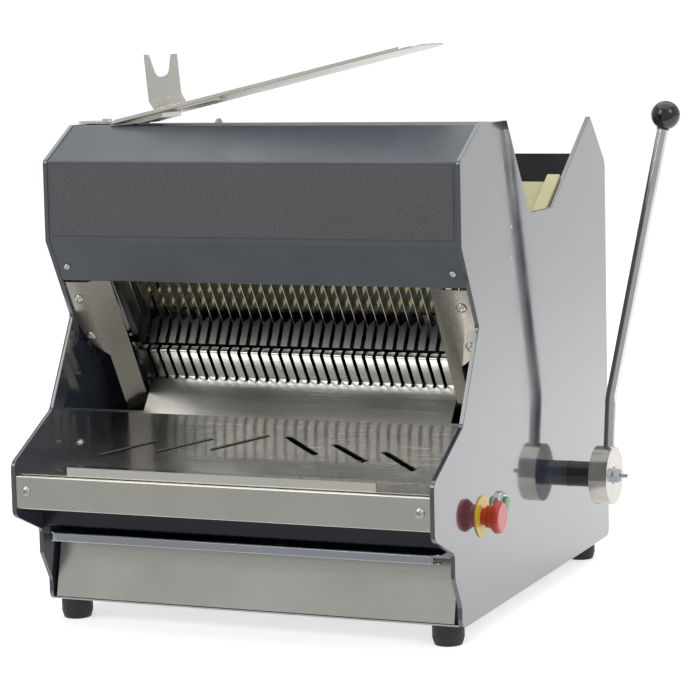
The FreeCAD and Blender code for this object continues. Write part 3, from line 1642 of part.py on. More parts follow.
def bag_fork():
    """Bent and forked plate standing on the scoop; the bag's edge is hooked over it."""
    made = scoop_placed(new_body("bag_fork"))
    front = -size.fork_depth
    rear = front + size.fork_bend * 0.7
    side = new_sketch(made, "YZ", "fork_side + fork_lean / 2")
    path = [(front, size.fork_height), (front, size.fork_bend),
            (rear, size.sheet), (rear + 16, size.sheet)]
    outline(side, bent_sheet(path, size.sheet, size.sheet / 2))
    pad(made, side, "fork_width + fork_lean", symmetric=True)
    doc.recompute()
    bend, top, above = size.fork_bend, size.fork_height, size.fork_height + 6

    def leaned(x, height):
        return x + size.fork_lean * (height - bend) / (top - bend)

    left = size.fork_side - size.fork_width / 2
    right = size.fork_side + size.fork_width / 2
    outside = right + size.fork_lean + 6
    low_top = top - size.fork_drop
    half = size.fork_gap / 2
    bottom = top - size.fork_gap_depth
    middle = leaned(size.fork_side, bottom)
    opened = leaned(size.fork_side, above)
    cuts = (
        [(right, -6), (right, bend), (leaned(right, low_top), low_top), (leaned(left, top), top),
         (leaned(left, top), above), (outside, above), (outside, -6)],
        [(left - 6, bend), (left, bend), (leaned(left, above), above), (left - 6, above)],
        [(opened - half, above), (middle - half * 0.45, bottom, half * 0.45),
         (middle + half * 0.45, bottom, half * 0.45), (opened + half, above)],
    )
    for points in cuts:
        cut = new_sketch(made, "XZ")
        outline(cut, points)
        pocket(made, cut, "2 * (fork_depth + sheet)")
        doc.recompute()
    return made


# ---------------------------------------------------------------- build and write

side_plate("side_plate_left", -1)
side_plate("side_plate_right", 1)
hood()
hood_front_plate()
rear_cover()
base_tray()
front_crossbar()
outlet_table()
front_fascia()
comb_fingers()
comb_rod()
outlet_trim("outlet_trim_left", -1)
outlet_trim("outlet_trim_right", 1)
loading_floor()
floor_liner()
side_strips()
blade_frame("blade_frame_front", -1)
blade_frame("blade_frame_rear", 1)
blades("blades_front", -1)
blades("blades_rear", 1)
connecting_rods("connecting_rods_front", -1, size.front_strap_offset)
connecting_rods("connecting_rods_rear", 1, size.rear_strap_offset)
blade_guide_rods()
rod_holders()
pusher_comb()
pusher_carriage()
pusher_rods()
pusher_rod_brackets()
drive_arms()
lever_shaft()
lever_hub()
hub_nut()
lever_rod()
lever_ball()
lever_bearings()
shaft_sleeve()
crankshaft()
crank_bearings()
pulley("crank_pulley", *crank_centre(), "crank_pulley_radius")
pulley("motor_pulley", size.motor_depth, size.motor_height, "motor_pulley_radius",
       "pulley_side - motor_start + 12")
motor()
drive_belt()
crumb_drawer()
drawer_handle()
drawer_runners()
stop_ring()
stop_block()
stop_button()
start_bezel()
start_button()
cord_gland()
feet()
plate_screws()
trim_screws()
scoop_pivot()
scoop_stop()
scoop_plate()
scoop_bracket()
scoop_stiffener()
bag_fork()

doc.recompute()
for item in doc.Objects:
    if "Invalid" in item.State or "Error" in item.State:
        raise RuntimeError(f"{item.Name} failed: {item.State}")
os.makedirs("parts", exist_ok=True)
for node in nodes:
    if node.Shape.isNull() or not node.Shape.isValid() or node.Shape.Volume <= 0:
        raise RuntimeError(f"{node.Label} has no valid shape")
for node in nodes:
    node.Shape.exportStep(f"parts/{node.Label}.step")
print(len(nodes), "nodes written")
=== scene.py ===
import json
import math

import bmesh
import bpy
from mathutils import Matrix, Vector


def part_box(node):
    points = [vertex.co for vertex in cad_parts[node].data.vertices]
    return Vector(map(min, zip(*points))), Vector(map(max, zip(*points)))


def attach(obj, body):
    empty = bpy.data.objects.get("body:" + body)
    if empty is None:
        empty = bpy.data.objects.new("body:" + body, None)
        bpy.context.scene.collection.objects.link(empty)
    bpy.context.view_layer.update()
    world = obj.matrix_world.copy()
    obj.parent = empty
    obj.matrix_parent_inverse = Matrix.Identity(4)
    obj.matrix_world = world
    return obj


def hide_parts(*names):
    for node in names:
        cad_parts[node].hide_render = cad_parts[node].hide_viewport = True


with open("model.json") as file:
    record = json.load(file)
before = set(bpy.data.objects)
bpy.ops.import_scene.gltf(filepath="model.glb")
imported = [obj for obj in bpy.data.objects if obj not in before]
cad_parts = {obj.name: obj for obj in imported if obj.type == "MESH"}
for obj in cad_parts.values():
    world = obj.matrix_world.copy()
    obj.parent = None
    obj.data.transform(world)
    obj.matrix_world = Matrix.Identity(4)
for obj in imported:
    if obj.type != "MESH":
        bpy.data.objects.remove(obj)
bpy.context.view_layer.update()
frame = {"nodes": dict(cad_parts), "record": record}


# ---- Studio: table, room and camera --------------------------------------------------------
# The slicer stands on a large matt white table in a bright room that is a little darker on
# the operator's side. None of this belongs to the machine.

TABLE_REACH = 9.0
TABLE_FRONT = 0.42
TABLE_GLOW = 0.55
ROOM_WHITE = (0.875, 0.875, 0.865)
ROOM_FRONT = 0.60
ROOM_REAR = 0.72
ROOM_SEEN = 1.3
SENSOR_WIDTH = 36
LENS = 132.73
LENS_REACH = 40
LENS_SHIFT = (-0.0990, -0.0968)
STAND_PLACE = (1.39487, -3.21553, 0.77654)
STAND_TURN = math.radians(21.5275)
STAND_DIP = math.radians(5.8327)
STAND_ROLL = math.radians(-1.1222)


def add(owner, kind, values=None, feeds=None, **settings):
    """Adds a node to a material or world, with socket values and links into its sockets."""
    made = owner.node_tree.nodes.new(kind)
    for name, value in settings.items():
        setattr(made, name, value)
    for socket, value in (values or {}).items():
        made.inputs[socket].default_value = value
    for socket, source in (feeds or {}).items():
        owner.node_tree.links.new(source, made.inputs[socket])
    return made


def shader_of(finish):
    return finish.node_tree.nodes["Principled BSDF"]


def new_finish(name, colour, roughness, metallic=0.0, extra=None):
    """A material; extra holds more values for its main shader, by socket."""
    finish = bpy.data.materials.new(name)
    finish.use_nodes = True
    values = {"Base Color": (*colour, 1), "Roughness": roughness, "Metallic": metallic}
    for socket, value in {**values, **(extra or {})}.items():
        shader_of(finish).inputs[socket].default_value = value
    return finish


def finish_mesh(name, bm, finish):
    """Turns a bmesh into an object at the origin with one material."""
    mesh = bpy.data.meshes.new(name)
    bm.to_mesh(mesh)
    bm.free()
    piece = bpy.data.objects.new(name, mesh)
    bpy.context.scene.collection.objects.link(piece)
    mesh.materials.append(finish)
    return piece


def seen_straight(owner, also):
    """1 for rays from the lens and for the other kind of ray named, 0 for the rest."""
    path = add(owner, "ShaderNodeLightPath")
    seen = add(owner, "ShaderNodeMath", operation="MAXIMUM",
               feeds={0: path.outputs["Is Camera Ray"], 1: path.outputs[also]})
    return seen.outputs[0]


def table_top():
    white = new_finish("studio_white", (0.86, 0.86, 0.86), 0.9, 0.0, {"Specular IOR Level": 0.0})
    bm = bmesh.new()
    bmesh.ops.create_grid(bm, x_segments=1, y_segments=1, size=TABLE_REACH)
    bmesh.ops.translate(bm, verts=bm.verts, vec=(0, TABLE_REACH - TABLE_FRONT, 0))
    table = finish_mesh("studio_table", bm, white)
    # the lens and the machine's polished pieces see the table paler, with its shadows kept;
    # the light that it throws on the machine stays that of the matt white
    matt = shader_of(white).outputs["BSDF"]
    glow = add(white, "ShaderNodeEmission", {"Color": (1, 1, 1, 1), "Strength": TABLE_GLOW})
    pale = add(white, "ShaderNodeAddShader", feeds={0: matt, 1: glow.outputs["Emission"]})
    choose = add(white, "ShaderNodeMixShader",
                 feeds={0: seen_straight(white, "Is Glossy Ray"), 1: matt,
                        2: pale.outputs["Shader"]})
    surface = white.node_tree.nodes["Material Output"].inputs["Surface"]
    white.node_tree.links.new(choose.outputs["Shader"], surface)


def room_light():
    room = bpy.data.worlds.new("studio_room")
    bpy.context.scene.world = room
    room.use_nodes = True
    background = room.node_tree.nodes["Background"]
    background.inputs["Color"].default_value = (*ROOM_WHITE, 1)
    # the walls: darker towards the operator, pale behind the machine
    way = add(room, "ShaderNodeTexCoord")
    split = add(room, "ShaderNodeSeparateXYZ", feeds={"Vector": way.outputs["Generated"]})
    walls = add(room, "ShaderNodeMapRange", interpolation_type="SMOOTHSTEP",
                values={"From Min": -0.8, "From Max": 0.5,
                        "To Min": ROOM_FRONT, "To Max": ROOM_REAR},
                feeds={"Value": split.outputs["Y"]})
    strength = add(room, "ShaderNodeMapRange", values={"To Max": ROOM_SEEN},
                   feeds={"Value": seen_straight(room, "Is Transmission Ray"),
                          "To Min": walls.outputs["Result"]})
    room.node_tree.links.new(strength.outputs["Result"], background.inputs["Strength"])


def soft_lamp(name, place, aim, size, power):
    """A square lamp panel that looks at aim."""
    lamp = bpy.data.lights.new(name, "AREA")
    lamp.shape = "SQUARE"
    lamp.size = size
    lamp.energy = power
    holder = bpy.data.objects.new(name, lamp)
    holder.location = place
    look = Vector(aim) - Vector(place)
    holder.rotation_euler = look.to_track_quat("-Z", "Y").to_euler()
    bpy.context.scene.collection.objects.link(holder)


def camera_stand():
    lens = bpy.data.cameras.new("studio_camera")
    lens.sensor_width = SENSOR_WIDTH
    lens.lens = LENS
    lens.shift_x, lens.shift_y = LENS_SHIFT
    lens.clip_end = LENS_REACH
    level = math.cos(STAND_DIP)
    ahead = Vector((-math.sin(STAND_TURN) * level, math.cos(STAND_TURN) * level,
                    -math.sin(STAND_DIP)))
    right = Vector((math.cos(STAND_TURN), math.sin(STAND_TURN), 0))
    up = right.cross(ahead)
    right, up = (right * math.cos(STAND_ROLL) + up * math.sin(STAND_ROLL),
                 up * math.cos(STAND_ROLL) - right * math.sin(STAND_ROLL))
    pose = Matrix((right, up, -ahead)).transposed().to_4x4()
    pose.translation = STAND_PLACE
    camera = bpy.data.objects.new("studio_camera", lens)
    camera.matrix_world = pose
    bpy.context.scene.collection.objects.link(camera)
    bpy.context.scene.camera = camera


table_top()
room_light()
soft_lamp("lamp_left", (-1.35, -2.6, 2.3), (0, -0.1, 0.3), 1.5, 22)
soft_lamp("lamp_right", (2.8, -1.2, 2.4), (0, 0, 0.35), 1.4, 18)
soft_lamp("lamp_top", (0, 0.4, 3.2), (0, 0, 0.3), 4.0, 52)
camera_stand()
bpy.context.scene.view_settings.view_transform = "Standard"


# ---- Side plates: thick steel, gloss powder coat in dark navy grey -------------------------
# Two 6 mm plates carry everything between them. They are cut to outline and their edges are
# rounded over before coating; the coat has a faint orange peel and a few dull wipe marks.

PLATE_ROUNDING = 0.0015
WELD = 1e-6
FLAT_ANGLE = math.radians(1.5)
SHARP_ANGLE = math.radians(35)


def coordinates(finish, stretch=(1, 1, 1)):
    """The piece's own coordinates in metres, stretched along each axis."""
    place = add(finish, "ShaderNodeTexCoord")
    mapping = add(finish, "ShaderNodeMapping", {"Scale": stretch},
                  {"Vector": place.outputs["Object"]})
    return mapping.outputs["Vector"]


def noise(finish, vector, scale, detail=3.0):
    texture = add(finish, "ShaderNodeTexNoise", {"Scale": scale, "Detail": detail},
                  {"Vector": vector})
    return texture.outputs["Fac"]


def vary_gloss(finish, value, low, high, socket="Roughness"):
    """Lets a noise value of 0.3 to 0.7 lead the roughness from low to high."""
    ranged = add(finish, "ShaderNodeMapRange",
                 {"From Min": 0.3, "From Max": 0.7, "To Min": low, "To Max": high},
                 {"Value": value})
    finish.node_tree.links.new(ranged.outputs["Result"], shader_of(finish).inputs[socket])


def vary_colour(finish, value, dark, light):
    """Lets a noise value of 0.3 to 0.7 lead the colour from dark to light."""
    ramp = add(finish, "ShaderNodeValToRGB", feeds={"Fac": value})
    for stop, position, colour in zip(ramp.color_ramp.elements, (0.3, 0.7), (dark, light)):
        stop.position = position
        stop.color = (*colour, 1)
    finish.node_tree.links.new(ramp.outputs["Color"], shader_of(finish).inputs["Base Color"])


def relief(finish, height, strength, distance, socket="Normal"):
    bump = add(finish, "ShaderNodeBump", {"Strength": strength, "Distance": distance},
               {"Height": height})
    finish.node_tree.links.new(bump.outputs["Normal"], shader_of(finish).inputs[socket])


def dress(finish, *names):
    """Gives CAD pieces their finish."""
    for name in names:
        piece = frame["nodes"][name]
        piece.data.materials.clear()
        piece.data.materials.append(finish)


def stand_in(piece, node):
    """The piece takes a CAD node's place: the node is hidden and the piece goes on its body."""
    record = frame["record"]
    bodies = record["behaviour"]["bodies"]
    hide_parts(node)
    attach(piece, next(body for body, members in bodies.items() if node in members))


def softened(node, width, finish):
    """Puts a copy of the CAD piece in its place, its sharp edges rounded over by width."""
    bm = bmesh.new()
    bm.from_mesh(frame["nodes"][node].data)
    bmesh.ops.remove_doubles(bm, verts=bm.verts, dist=WELD)
    bmesh.ops.dissolve_limit(bm, angle_limit=FLAT_ANGLE, verts=bm.verts, edges=bm.edges,
                             delimit={"NORMAL"})
    sharp = [edge for edge in bm.edges if len(edge.link_faces) == 2
             and edge.calc_face_angle(0) > SHARP_ANGLE]
    bmesh.ops.bevel(bm, geom=sharp, offset=width, offset_type="OFFSET", segments=3,
                    profile=0.5, material=-1, affect="EDGES", clamp_overlap=True)
    bmesh.ops.recalc_face_normals(bm, faces=bm.faces)
    piece = finish_mesh(node + "_rounded", bm, finish)
    for face in piece.data.polygons:
        face.use_smooth = True
    flat = piece.modifiers.new("flat_sides", "WEIGHTED_NORMAL")
    flat.keep_sharp = True
    stand_in(piece, node)


def plate_coat():
    coat = new_finish("plate_coat", (0.04, 0.047, 0.066), 0.08, 0.0,
                      {"IOR": 1.6, "Coat Weight": 1.0, "Coat IOR": 1.68})
    here = coordinates(coat)
    wiped = noise(coat, here, 9, 6)
    vary_gloss(coat, wiped, 0.03, 0.09, "Coat Roughness")
    vary_gloss(coat, wiped, 0.05, 0.14)
    vary_colour(coat, noise(coat, here, 5), (0.036, 0.043, 0.061), (0.044, 0.052, 0.072))
    peel = noise(coat, here, 160, 2)
    relief(coat, peel, 0.02, 0.001)
    relief(coat, peel, 0.02, 0.001, "Coat Normal")
    return coat


plate_finish = plate_coat()
softened("side_plate_left", PLATE_ROUNDING, plate_finish)
softened("side_plate_right", PLATE_ROUNDING, plate_finish)


# ---- Hood and rear cover: bent sheet, slate grey powder coat -------------------------------
# 2 mm sheet bent to shape and held between the side plates; the satin coat is finely
# pebbled. A thin brushed and lacquered plate is stuck on the hood's face, without lettering.

HOOD_ROUNDING = 0.0004
FACE_PLATE_ROUNDING = 0.0003


def hood_coat():
    coat = new_finish("hood_coat", (0.088, 0.102, 0.12), 0.4)
    here = coordinates(coat)
    vary_colour(coat, noise(coat, here, 14, 5), (0.08, 0.092, 0.108), (0.096, 0.11, 0.128))
    vary_gloss(coat, noise(coat, here, 24, 5), 0.30, 0.42)
    relief(coat, noise(coat, here, 1400, 2), 0.12, 0.0004)
    return coat


def brushed_plate():
    plate = new_finish("brushed_plate", (0.125, 0.122, 0.132), 0.45, 0.5)
    speckle = noise(plate, coordinates(plate, (420, 700, 700)), 1, 3)
    vary_colour(plate, speckle, (0.085, 0.083, 0.091), (0.170, 0.166, 0.178))
    vary_gloss(plate, noise(plate, coordinates(plate), 7, 5), 0.36, 0.5)
    relief(plate, speckle, 0.05, 0.0002)
    return plate


hood_finish = hood_coat()
softened("hood", HOOD_ROUNDING, hood_finish)
dress(hood_finish, "rear_cover")
softened("hood_front_plate", FACE_PLATE_ROUNDING, brushed_plate())


# ---- Outlet, crumb drawer and scoop: stainless sheet ---------------------------------------
# Folded 2 mm sheet, satin polished with the grain across the machine; the table is the
# glossiest. Fascia, table and trims are screwed on, the drawer slides on runners, and the
# scoop swivels on the hood.

SHEET_ROUNDING = 0.0004
FASCIA_ROUNDING = 0.0003
CROSS_GRAIN = (8, 1200, 1200)
UP_GRAIN = (1600, 300, 12)
RUBBED_GRAIN = (30, 60, 200)


def scaled(colour, factor):
    return tuple(channel * factor for channel in colour)


def stainless(name, tone, grain, dull, bright, polish=0.0):
    """Brushed sheet; grain stretches the lines, dull and bright limit its roughness."""
    sheet = new_finish(name, tone, dull, 1.0, {"Coat Weight": polish, "Coat Roughness": 0.03})
    lines = noise(sheet, coordinates(sheet, grain), 1, 4)
    worn = noise(sheet, coordinates(sheet), 11, 6)
    vary_colour(sheet, worn, scaled(tone, 0.95), scaled(tone, 1.04))
    half_worn = add(sheet, "ShaderNodeMath", {1: 0.5}, {0: worn}, operation="MULTIPLY")
    mixed = add(sheet, "ShaderNodeMath", {1: 0.5}, {0: lines, 2: half_worn.outputs[0]},
                operation="MULTIPLY_ADD")
    vary_gloss(sheet, mixed.outputs[0], bright, dull)
    relief(sheet, lines, 0.03, 0.0001)
    return sheet


table_steel = stainless("table_steel", (0.74, 0.73, 0.69), CROSS_GRAIN, 0.30, 0.18, 1.0)
fascia_steel = stainless("fascia_steel", (0.56, 0.55, 0.505), CROSS_GRAIN, 0.32, 0.22)
drawer_steel = stainless("drawer_steel", (0.56, 0.555, 0.52), CROSS_GRAIN, 0.32, 0.22)
scoop_steel = stainless("scoop_steel", (0.74, 0.725, 0.68), CROSS_GRAIN, 0.32, 0.22)
trim_steel = stainless("trim_steel", (0.36, 0.345, 0.31), UP_GRAIN, 0.34, 0.2)
comb_steel = stainless("comb_steel", (0.245, 0.232, 0.23), UP_GRAIN, 0.42, 0.3)
handle_steel = stainless("handle_steel", (0.40, 0.42, 0.46), RUBBED_GRAIN, 0.34, 0.16)
dress(table_steel, "outlet_table", "scoop_stop")
softened("front_fascia", FASCIA_ROUNDING, fascia_steel)
dress(drawer_steel, "crumb_drawer")
softened("drawer_handle", SHEET_ROUNDING, handle_steel)
dress(scoop_steel, "scoop_bracket", "scoop_stiffener")
for sheet_piece, sheet_finish in (("scoop_plate", scoop_steel), ("bag_fork", scoop_steel),
                                  ("outlet_trim_left", trim_steel),
                                  ("outlet_trim_right", trim_steel),
                                  ("comb_fingers", comb_steel)):
    softened(sheet_piece, SHEET_ROUNDING, sheet_finish)


# ---- Hopper and crossbar: black steel, cream boards ----------------------------------------
# Floor and crossbar are coated steel. The liner, the strips and the pusher are food-grade
# plastic board with saw and knife marks. Near the blades the flat liner is painted with
# stripes of shade round each blade's place and stripes of highlight between them.

BLADE_PITCH = 0.015
# painted light on the flat liner near the blades: stripes of painted shade round each blade's
# place and brighter stripes of painted highlight between them, at the blade pitch
PAINTED_SHADE_WIDTH = 0.0095
PAINTED_SHADE_BLUR = 0.0008
PAINTED_STRIPES_END = -0.02
PAINTED_STRIPES_FADE = 0.02
PAINTED_HIGHLIGHT_GAIN = 1.6
PAINTED_SHADE_GAIN = 0.03
CROSSBAR_ROUNDING = 0.003


def cream_sheet(name, tone):
    board = new_finish(name, tone, 0.5, 0.0, {"Subsurface Weight": 0.1,
                                              "Subsurface Radius": (0.004, 0.003, 0.002)})
    vary_colour(board, noise(board, coordinates(board), 18, 6), scaled(tone, 0.9),
                scaled(tone, 1.04))
    marks = noise(board, coordinates(board, (500, 24, 24)), 1, 3)
    vary_gloss(board, marks, 0.42, 0.6)
    relief(board, marks, 0.1, 0.0003)
    return board


def paint_blade_light_and_shade(board):
    """Paints shade round each blade's place and a highlight between, back to where it fades out.
    """
    place = add(board, "ShaderNodeTexCoord")
    split = add(board, "ShaderNodeSeparateXYZ", feeds={"Vector": place.outputs["Object"]})
    from_lit_stripe = add(board, "ShaderNodeMath", {1: BLADE_PITCH / 2}, {0: split.outputs["X"]},
                   operation="PINGPONG")
    lit_stripe_half = (BLADE_PITCH - PAINTED_SHADE_WIDTH) / 2
    # painted highlight midway between the blades, painted shade round each blade's place
    shade = add(board, "ShaderNodeMapRange", interpolation_type="SMOOTHSTEP",
                values={"From Min": lit_stripe_half - PAINTED_SHADE_BLUR, "From Max": lit_stripe_half + PAINTED_SHADE_BLUR,
                        "To Min": PAINTED_HIGHLIGHT_GAIN, "To Max": PAINTED_SHADE_GAIN},
                feeds={"Value": from_lit_stripe.outputs[0]})
    # the painted shade and highlight fade out further back on the liner
    run_out = add(board, "ShaderNodeMapRange",
                  {"From Min": PAINTED_STRIPES_END - PAINTED_STRIPES_FADE, "From Max": PAINTED_STRIPES_END},
                  {"Value": split.outputs["Y"], "To Min": shade.outputs["Result"]})
    colour = shader_of(board).inputs["Base Color"]
    shaded = add(board, "ShaderNodeVectorMath", operation="SCALE",
                 feeds={0: colour.links[0].from_socket, "Scale": run_out.outputs["Result"]})
    board.node_tree.links.new(shaded.outputs["Vector"], colour)


def dark_coat(name, tone, sheen, gloss):
    coat = new_finish(name, tone, sheen, 0.0, {"Specular IOR Level": gloss})
    here = coordinates(coat)
    vary_gloss(coat, noise(coat, here, 30, 5), sheen - 0.1, sheen + 0.1)
    vary_colour(coat, noise(coat, here, 12), scaled(tone, 0.85), scaled(tone, 1.25))
    relief(coat, noise(coat, here, 1100, 2), 0.1, 0.0003)
    return coat


black_coat = dark_coat("black_coat", (0.005, 0.0055, 0.007), 0.5, 0.08)
dress(black_coat, "loading_floor", "comb_rod")
crossbar_coat = dark_coat("crossbar_coat", (0.014, 0.018, 0.030), 0.24, 0.5)
softened("front_crossbar", CROSSBAR_ROUNDING, crossbar_coat)
liner_board = cream_sheet("liner_board", (0.50, 0.485, 0.26))
# paints shade and highlight in stripes on the liner near the blades
paint_blade_light_and_shade(liner_board)
dress(liner_board, "floor_liner")
dress(cream_sheet("strip_board", (0.60, 0.56, 0.33)), "side_strips")
dress(cream_sheet("pusher_board", (0.66, 0.62, 0.48)), "pusher_comb")


# ---- Blades: ground strips with a scalloped cutting edge -----------------------------------
# Strips of ground steel, every second one held in the front frame and the others in the
# rear frame. Scallops are ground along the edge that faces the hopper.

BLADES = 30
BLADE_DEPTH = -0.112
BLADE_HEIGHT = 0.386
BLADE_TILT = math.radians(34)
BLADE_SPAN = (-0.125, 0.200)
BLADE_THICKNESS = 0.0008
BLADE_HALF = 0.008
SCALLOP = 0.012
SCALLOP_DEPTH = 0.0022
SCALLOP_STEPS = 6


def leaned(x, across, up):
    """A place in the blades' own leaning frame, in the machine."""
    return Vector((x,
                   BLADE_DEPTH + across * math.cos(BLADE_TILT) - up * math.sin(BLADE_TILT),
                   BLADE_HEIGHT + across * math.sin(BLADE_TILT) + up * math.cos(BLADE_TILT)))


def blade_steel():
    steel = new_finish("blade_steel", (0.23, 0.225, 0.20), 0.25, 1.0)
    lines = noise(steel, coordinates(steel, (900, 700, 90)), 1, 3)
    vary_gloss(steel, lines, 0.14, 0.32)
    vary_colour(steel, lines, (0.19, 0.185, 0.16), (0.27, 0.265, 0.235))
    relief(steel, lines, 0.05, 0.0002)
    return steel


def blade_outline():
    """Across and up of a blade's edge: the scallops, then the plain back."""
    low, high = BLADE_SPAN
    points = []
    for tooth in range(int((high - low) / SCALLOP)):
        for step in range(SCALLOP_STEPS):
            part = step / SCALLOP_STEPS
            ground = math.sin(math.pi * part) * SCALLOP_DEPTH
            points.append((BLADE_HALF - ground, low + (tooth + part) * SCALLOP))
    last = low + (tooth + 1) * SCALLOP
    return points + [(BLADE_HALF, last), (BLADE_HALF, high), (-BLADE_HALF, high),
                     (-BLADE_HALF, low)]


def scalloped_blades(node, first, finish):
    """The blades of one frame: every second one, from the first on."""
    bm = bmesh.new()
    outline = blade_outline()
    for index in range(first, BLADES, 2):
        middle = (index - BLADES // 2 + 0.5) * BLADE_PITCH
        sides = []
        for x in (middle - BLADE_THICKNESS / 2, middle + BLADE_THICKNESS / 2):
            corners = [bm.verts.new(leaned(x, *point)) for point in outline]
            sides.append([bm.edges.new(pair)
                          for pair in zip(corners, corners[1:] + corners[:1])])
        bmesh.ops.bridge_loops(bm, edges=sides[0] + sides[1])
        for side in sides:
            bmesh.ops.contextual_create(bm, geom=side)
    bmesh.ops.recalc_face_normals(bm, faces=bm.faces)
    bmesh.ops.triangulate(bm, faces=bm.faces)
    stand_in(finish_mesh(node + "_scalloped", bm, finish), node)


blade_finish = blade_steel()
scalloped_blades("blades_front", 0, blade_finish)
scalloped_blades("blades_rear", 1, blade_finish)


# ---- Inner works: zinc plated and cast pieces ----------------------------------------------
# Frames, runners and brackets are zinc plated steel; bearings, crank, pulleys and the motor
# are painted castings. Belt, cord gland and stop block are moulded rubber or plastic.

def zinc():
    plated = new_finish("zinc_plate", (0.42, 0.43, 0.44), 0.38, 1.0)
    here = coordinates(plated)
    cloud = noise(plated, here, 40, 5)
    vary_colour(plated, cloud, (0.36, 0.37, 0.38), (0.48, 0.49, 0.48))
    vary_gloss(plated, cloud, 0.3, 0.46)
    relief(plated, noise(plated, here, 700, 2), 0.05, 0.0003)
    return plated


def casting():
    cast = new_finish("painted_casting", (0.045, 0.05, 0.055), 0.55)
    here = coordinates(cast)
    vary_colour(cast, noise(cast, here, 35, 5), (0.038, 0.042, 0.046), (0.058, 0.064, 0.07))
    vary_gloss(cast, noise(cast, here, 60, 4), 0.45, 0.65)
    relief(cast, noise(cast, here, 420, 3), 0.35, 0.0006)
    return cast


def rubber(name, tone, sheen):
    moulded = new_finish(name, tone, sheen)
    here = coordinates(moulded)
    vary_gloss(moulded, noise(moulded, here, 70, 4), sheen - 0.08, sheen + 0.1)
    vary_colour(moulded, noise(moulded, here, 30, 4), scaled(tone, 0.8), scaled(tone, 1.3))
    relief(moulded, noise(moulded, here, 900, 2), 0.15, 0.0003)
    return moulded


dress(zinc(), "base_tray", "blade_frame_front", "blade_frame_rear", "pusher_carriage",
      "pusher_rod_brackets", "drive_arms", "drawer_runners", "scoop_pivot")
dress(casting(), "connecting_rods_front", "connecting_rods_rear", "rod_holders",
      "lever_bearings", "crankshaft", "crank_bearings", "crank_pulley", "motor_pulley", "motor")
foot_rubber = rubber("foot_rubber", (0.012, 0.012, 0.013), 0.55)
dress(foot_rubber, "drive_belt", "cord_gland", "stop_block")


# ---- Feet: moulded rubber ------------------------------------------------------------------
# Four round feet, rounded at the top and bottom edge. Each is screwed up into the base
# tray, close to a corner.

FEET_ROUNDING = 0.0012

softened("feet", FEET_ROUNDING, foot_rubber)


# ---- Lever: turned hub, bent bar, ball knob ------------------------------------------------
# The turned steel hub is held on the cross shaft's end by a nut. The bent bar is polished
# round steel in a bore across the hub, and the ball on its end is moulded plastic.

HUB_ROUNDING = 0.0014


def turned_steel():
    """Fine turning marks run round the hub's axis, which lies along X."""
    steel = new_finish("turned_steel", (0.50, 0.485, 0.44), 0.14, 1.0)
    low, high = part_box("lever_hub")
    place = add(steel, "ShaderNodeTexCoord")
    from_middle = add(steel, "ShaderNodeVectorMath", {1: (low + high) / 2},
                      {0: place.outputs["Object"]}, operation="SUBTRACT")
    flat = add(steel, "ShaderNodeVectorMath", {1: (0, 1, 1)},
               {0: from_middle.outputs["Vector"]}, operation="MULTIPLY")
    radius = add(steel, "ShaderNodeVectorMath", feeds={0: flat.outputs["Vector"]},
                 operation="LENGTH")
    along = add(steel, "ShaderNodeSeparateXYZ",
                feeds={"Vector": from_middle.outputs["Vector"]})
    turned = add(steel, "ShaderNodeCombineXYZ",
                 feeds={"X": radius.outputs["Value"], "Y": along.outputs["X"]})
    smears = noise(steel, coordinates(steel), 45, 5)
    vary_gloss(steel, smears, 0.08, 0.2)
    vary_colour(steel, smears, (0.46, 0.445, 0.40), (0.54, 0.525, 0.48))
    relief(steel, noise(steel, turned.outputs["Vector"], 2600, 2), 0.06, 0.0002)
    return steel


def polished_bar():
    steel = new_finish("polished_bar", (0.62, 0.62, 0.61), 0.12, 1.0)
    here = coordinates(steel)
    vary_gloss(steel, noise(steel, here, 60, 5), 0.07, 0.18)
    vary_colour(steel, noise(steel, here, 22, 4), (0.58, 0.58, 0.57), (0.66, 0.66, 0.65))
    relief(steel, noise(steel, coordinates(steel, (40, 40, 1400)), 1, 2), 0.015, 0.0001)
    return steel


def gloss_plastic(name, tone, roughness):
    moulded = new_finish(name, tone, roughness, 0.0,
                         {"Coat Weight": 0.4, "Coat Roughness": 0.05})
    here = coordinates(moulded)
    vary_gloss(moulded, noise(moulded, here, 90, 5), roughness - 0.04, roughness + 0.08)
    vary_colour(moulded, noise(moulded, here, 50, 4), scaled(tone, 0.92), scaled(tone, 1.06))
    relief(moulded, noise(moulded, here, 500, 2), 0.03, 0.0003)
    return moulded


bar_finish = polished_bar()
softened("lever_hub", HUB_ROUNDING, turned_steel())
dress(bar_finish, "lever_shaft", "lever_rod", "blade_guide_rods", "pusher_rods")
dress(stainless("nut_steel", (0.50, 0.53, 0.58), (300, 300, 300), 0.32, 0.2), "hub_nut")
dress(gloss_plastic("black_plastic", (0.010, 0.010, 0.011), 0.1), "lever_ball", "shaft_sleeve")


# ---- Controls: emergency stop and start button ---------------------------------------------
# A red mushroom head on a plain yellow disc, and a green button in a chromed collar. They
# are moulded plastic and sit in holes in the right side plate; the disc has no lettering.

dress(gloss_plastic("stop_red", (0.56, 0.022, 0.016), 0.18), "stop_button")
dress(gloss_plastic("disc_yellow", (0.82, 0.62, 0.04), 0.35), "stop_ring")
dress(gloss_plastic("start_green", (0.012, 0.26, 0.085), 0.2), "start_button")
dress(bar_finish, "start_bezel")


# ---- Screws: pan heads with a cross recess -------------------------------------------------
# Steel heads, each a turned dome with a cross sunk into it. They stand on the sheets that
# they hold; the shanks are hidden in the plates.

HEAD_SIDES = 24
DOME_PARTS = (0, 0.35, 0.65, 0.85, 0.97)
DOME_FULLNESS = 0.32
MOUTH = (0.5, 0.11, 0.98)
PIT = (0.42, 0.07, 0.35)
SEAT_DEPTH = 1e-5


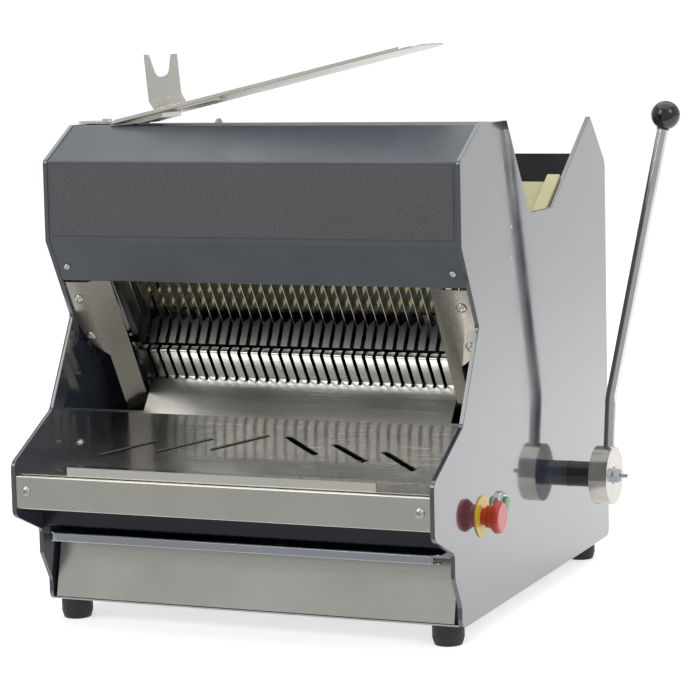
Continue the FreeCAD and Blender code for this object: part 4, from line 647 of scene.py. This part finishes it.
def loose_parts(bm):
    """The bmesh's vertices, in lists of those that hang together, always in one order."""
    left = dict.fromkeys(bm.verts)
    while left:
        part = [left.popitem()[0]]
        for vertex in part:
            for edge in vertex.link_edges:
                other = edge.other_vert(vertex)
                if other in left:
                    del left[other]
                    part.append(other)
        yield part


def circle_points(size):
    turns = [math.tau * k / HEAD_SIDES for k in range(HEAD_SIDES)]
    return [(size * math.cos(turn), size * math.sin(turn)) for turn in turns]


def cross_points(reach, arm):
    """Corners of a cross: its reach from the middle, and half the width of an arm."""
    corner = [(reach, -arm), (reach, arm), (arm, arm)]
    turns = [math.tau * k / 4 for k in range(4)]
    return [(u * math.cos(turn) - v * math.sin(turn), u * math.sin(turn) + v * math.cos(turn))
            for turn in turns for u, v in corner]


def pan_head(bm, part):
    """Adds a head where a CAD head stands, whose seat is its largest flat face."""
    areas = {}
    for face in dict.fromkeys(face for vertex in part for face in vertex.link_faces):
        key = tuple(round(number, 2) for number in face.normal)
        areas[key] = areas.get(key, 0) + face.calc_area()
    way = -Vector(max(areas, key=areas.get)).normalized()
    low = min(vertex.co.dot(way) for vertex in part)
    high = max(vertex.co.dot(way) for vertex in part)
    height = high - low
    seat = [vertex.co for vertex in part if vertex.co.dot(way) < low + SEAT_DEPTH]
    centre = sum(seat, Vector()) / len(seat)
    radius = max((corner - centre).length for corner in seat)
    side = way.orthogonal().normalized()
    other = way.cross(side)

    def closed_line(points, level):
        """Edges once round the head's axis, at a height over the seat."""
        corners = [bm.verts.new(centre + side * u + other * v + way * level)
                   for u, v in points]
        return [bm.edges.new(pair) for pair in zip(corners, corners[1:] + corners[:1])]

    lines = [closed_line(circle_points(radius * math.cos(share * math.pi / 2) ** DOME_FULLNESS),
                         height * share) for share in DOME_PARTS]
    for reach, arm, level in (MOUTH, PIT):
        lines.append(closed_line(cross_points(radius * reach, radius * arm), height * level))
    for lower, upper in zip(lines, lines[1:]):
        bmesh.ops.bridge_loops(bm, edges=lower + upper)
    for end in (lines[0], lines[-1]):
        bmesh.ops.contextual_create(bm, geom=end)


def screw_heads(node, finish):
    """Pan heads in the places of the CAD heads."""
    source = bmesh.new()
    source.from_mesh(frame["nodes"][node].data)
    bmesh.ops.remove_doubles(source, verts=source.verts, dist=WELD)
    heads = bmesh.new()
    for part in loose_parts(source):
        pan_head(heads, part)
    source.free()
    bmesh.ops.recalc_face_normals(heads, faces=heads.faces)
    piece = finish_mesh(node + "_heads", heads, finish)
    for face in piece.data.polygons:
        face.use_smooth = True
    stand_in(piece, node)


screw_finish = stainless("screw_steel", (0.62, 0.61, 0.58), (500, 500, 500), 0.3, 0.18)
screw_heads("plate_screws", screw_finish)
screw_heads("trim_screws", screw_finish)
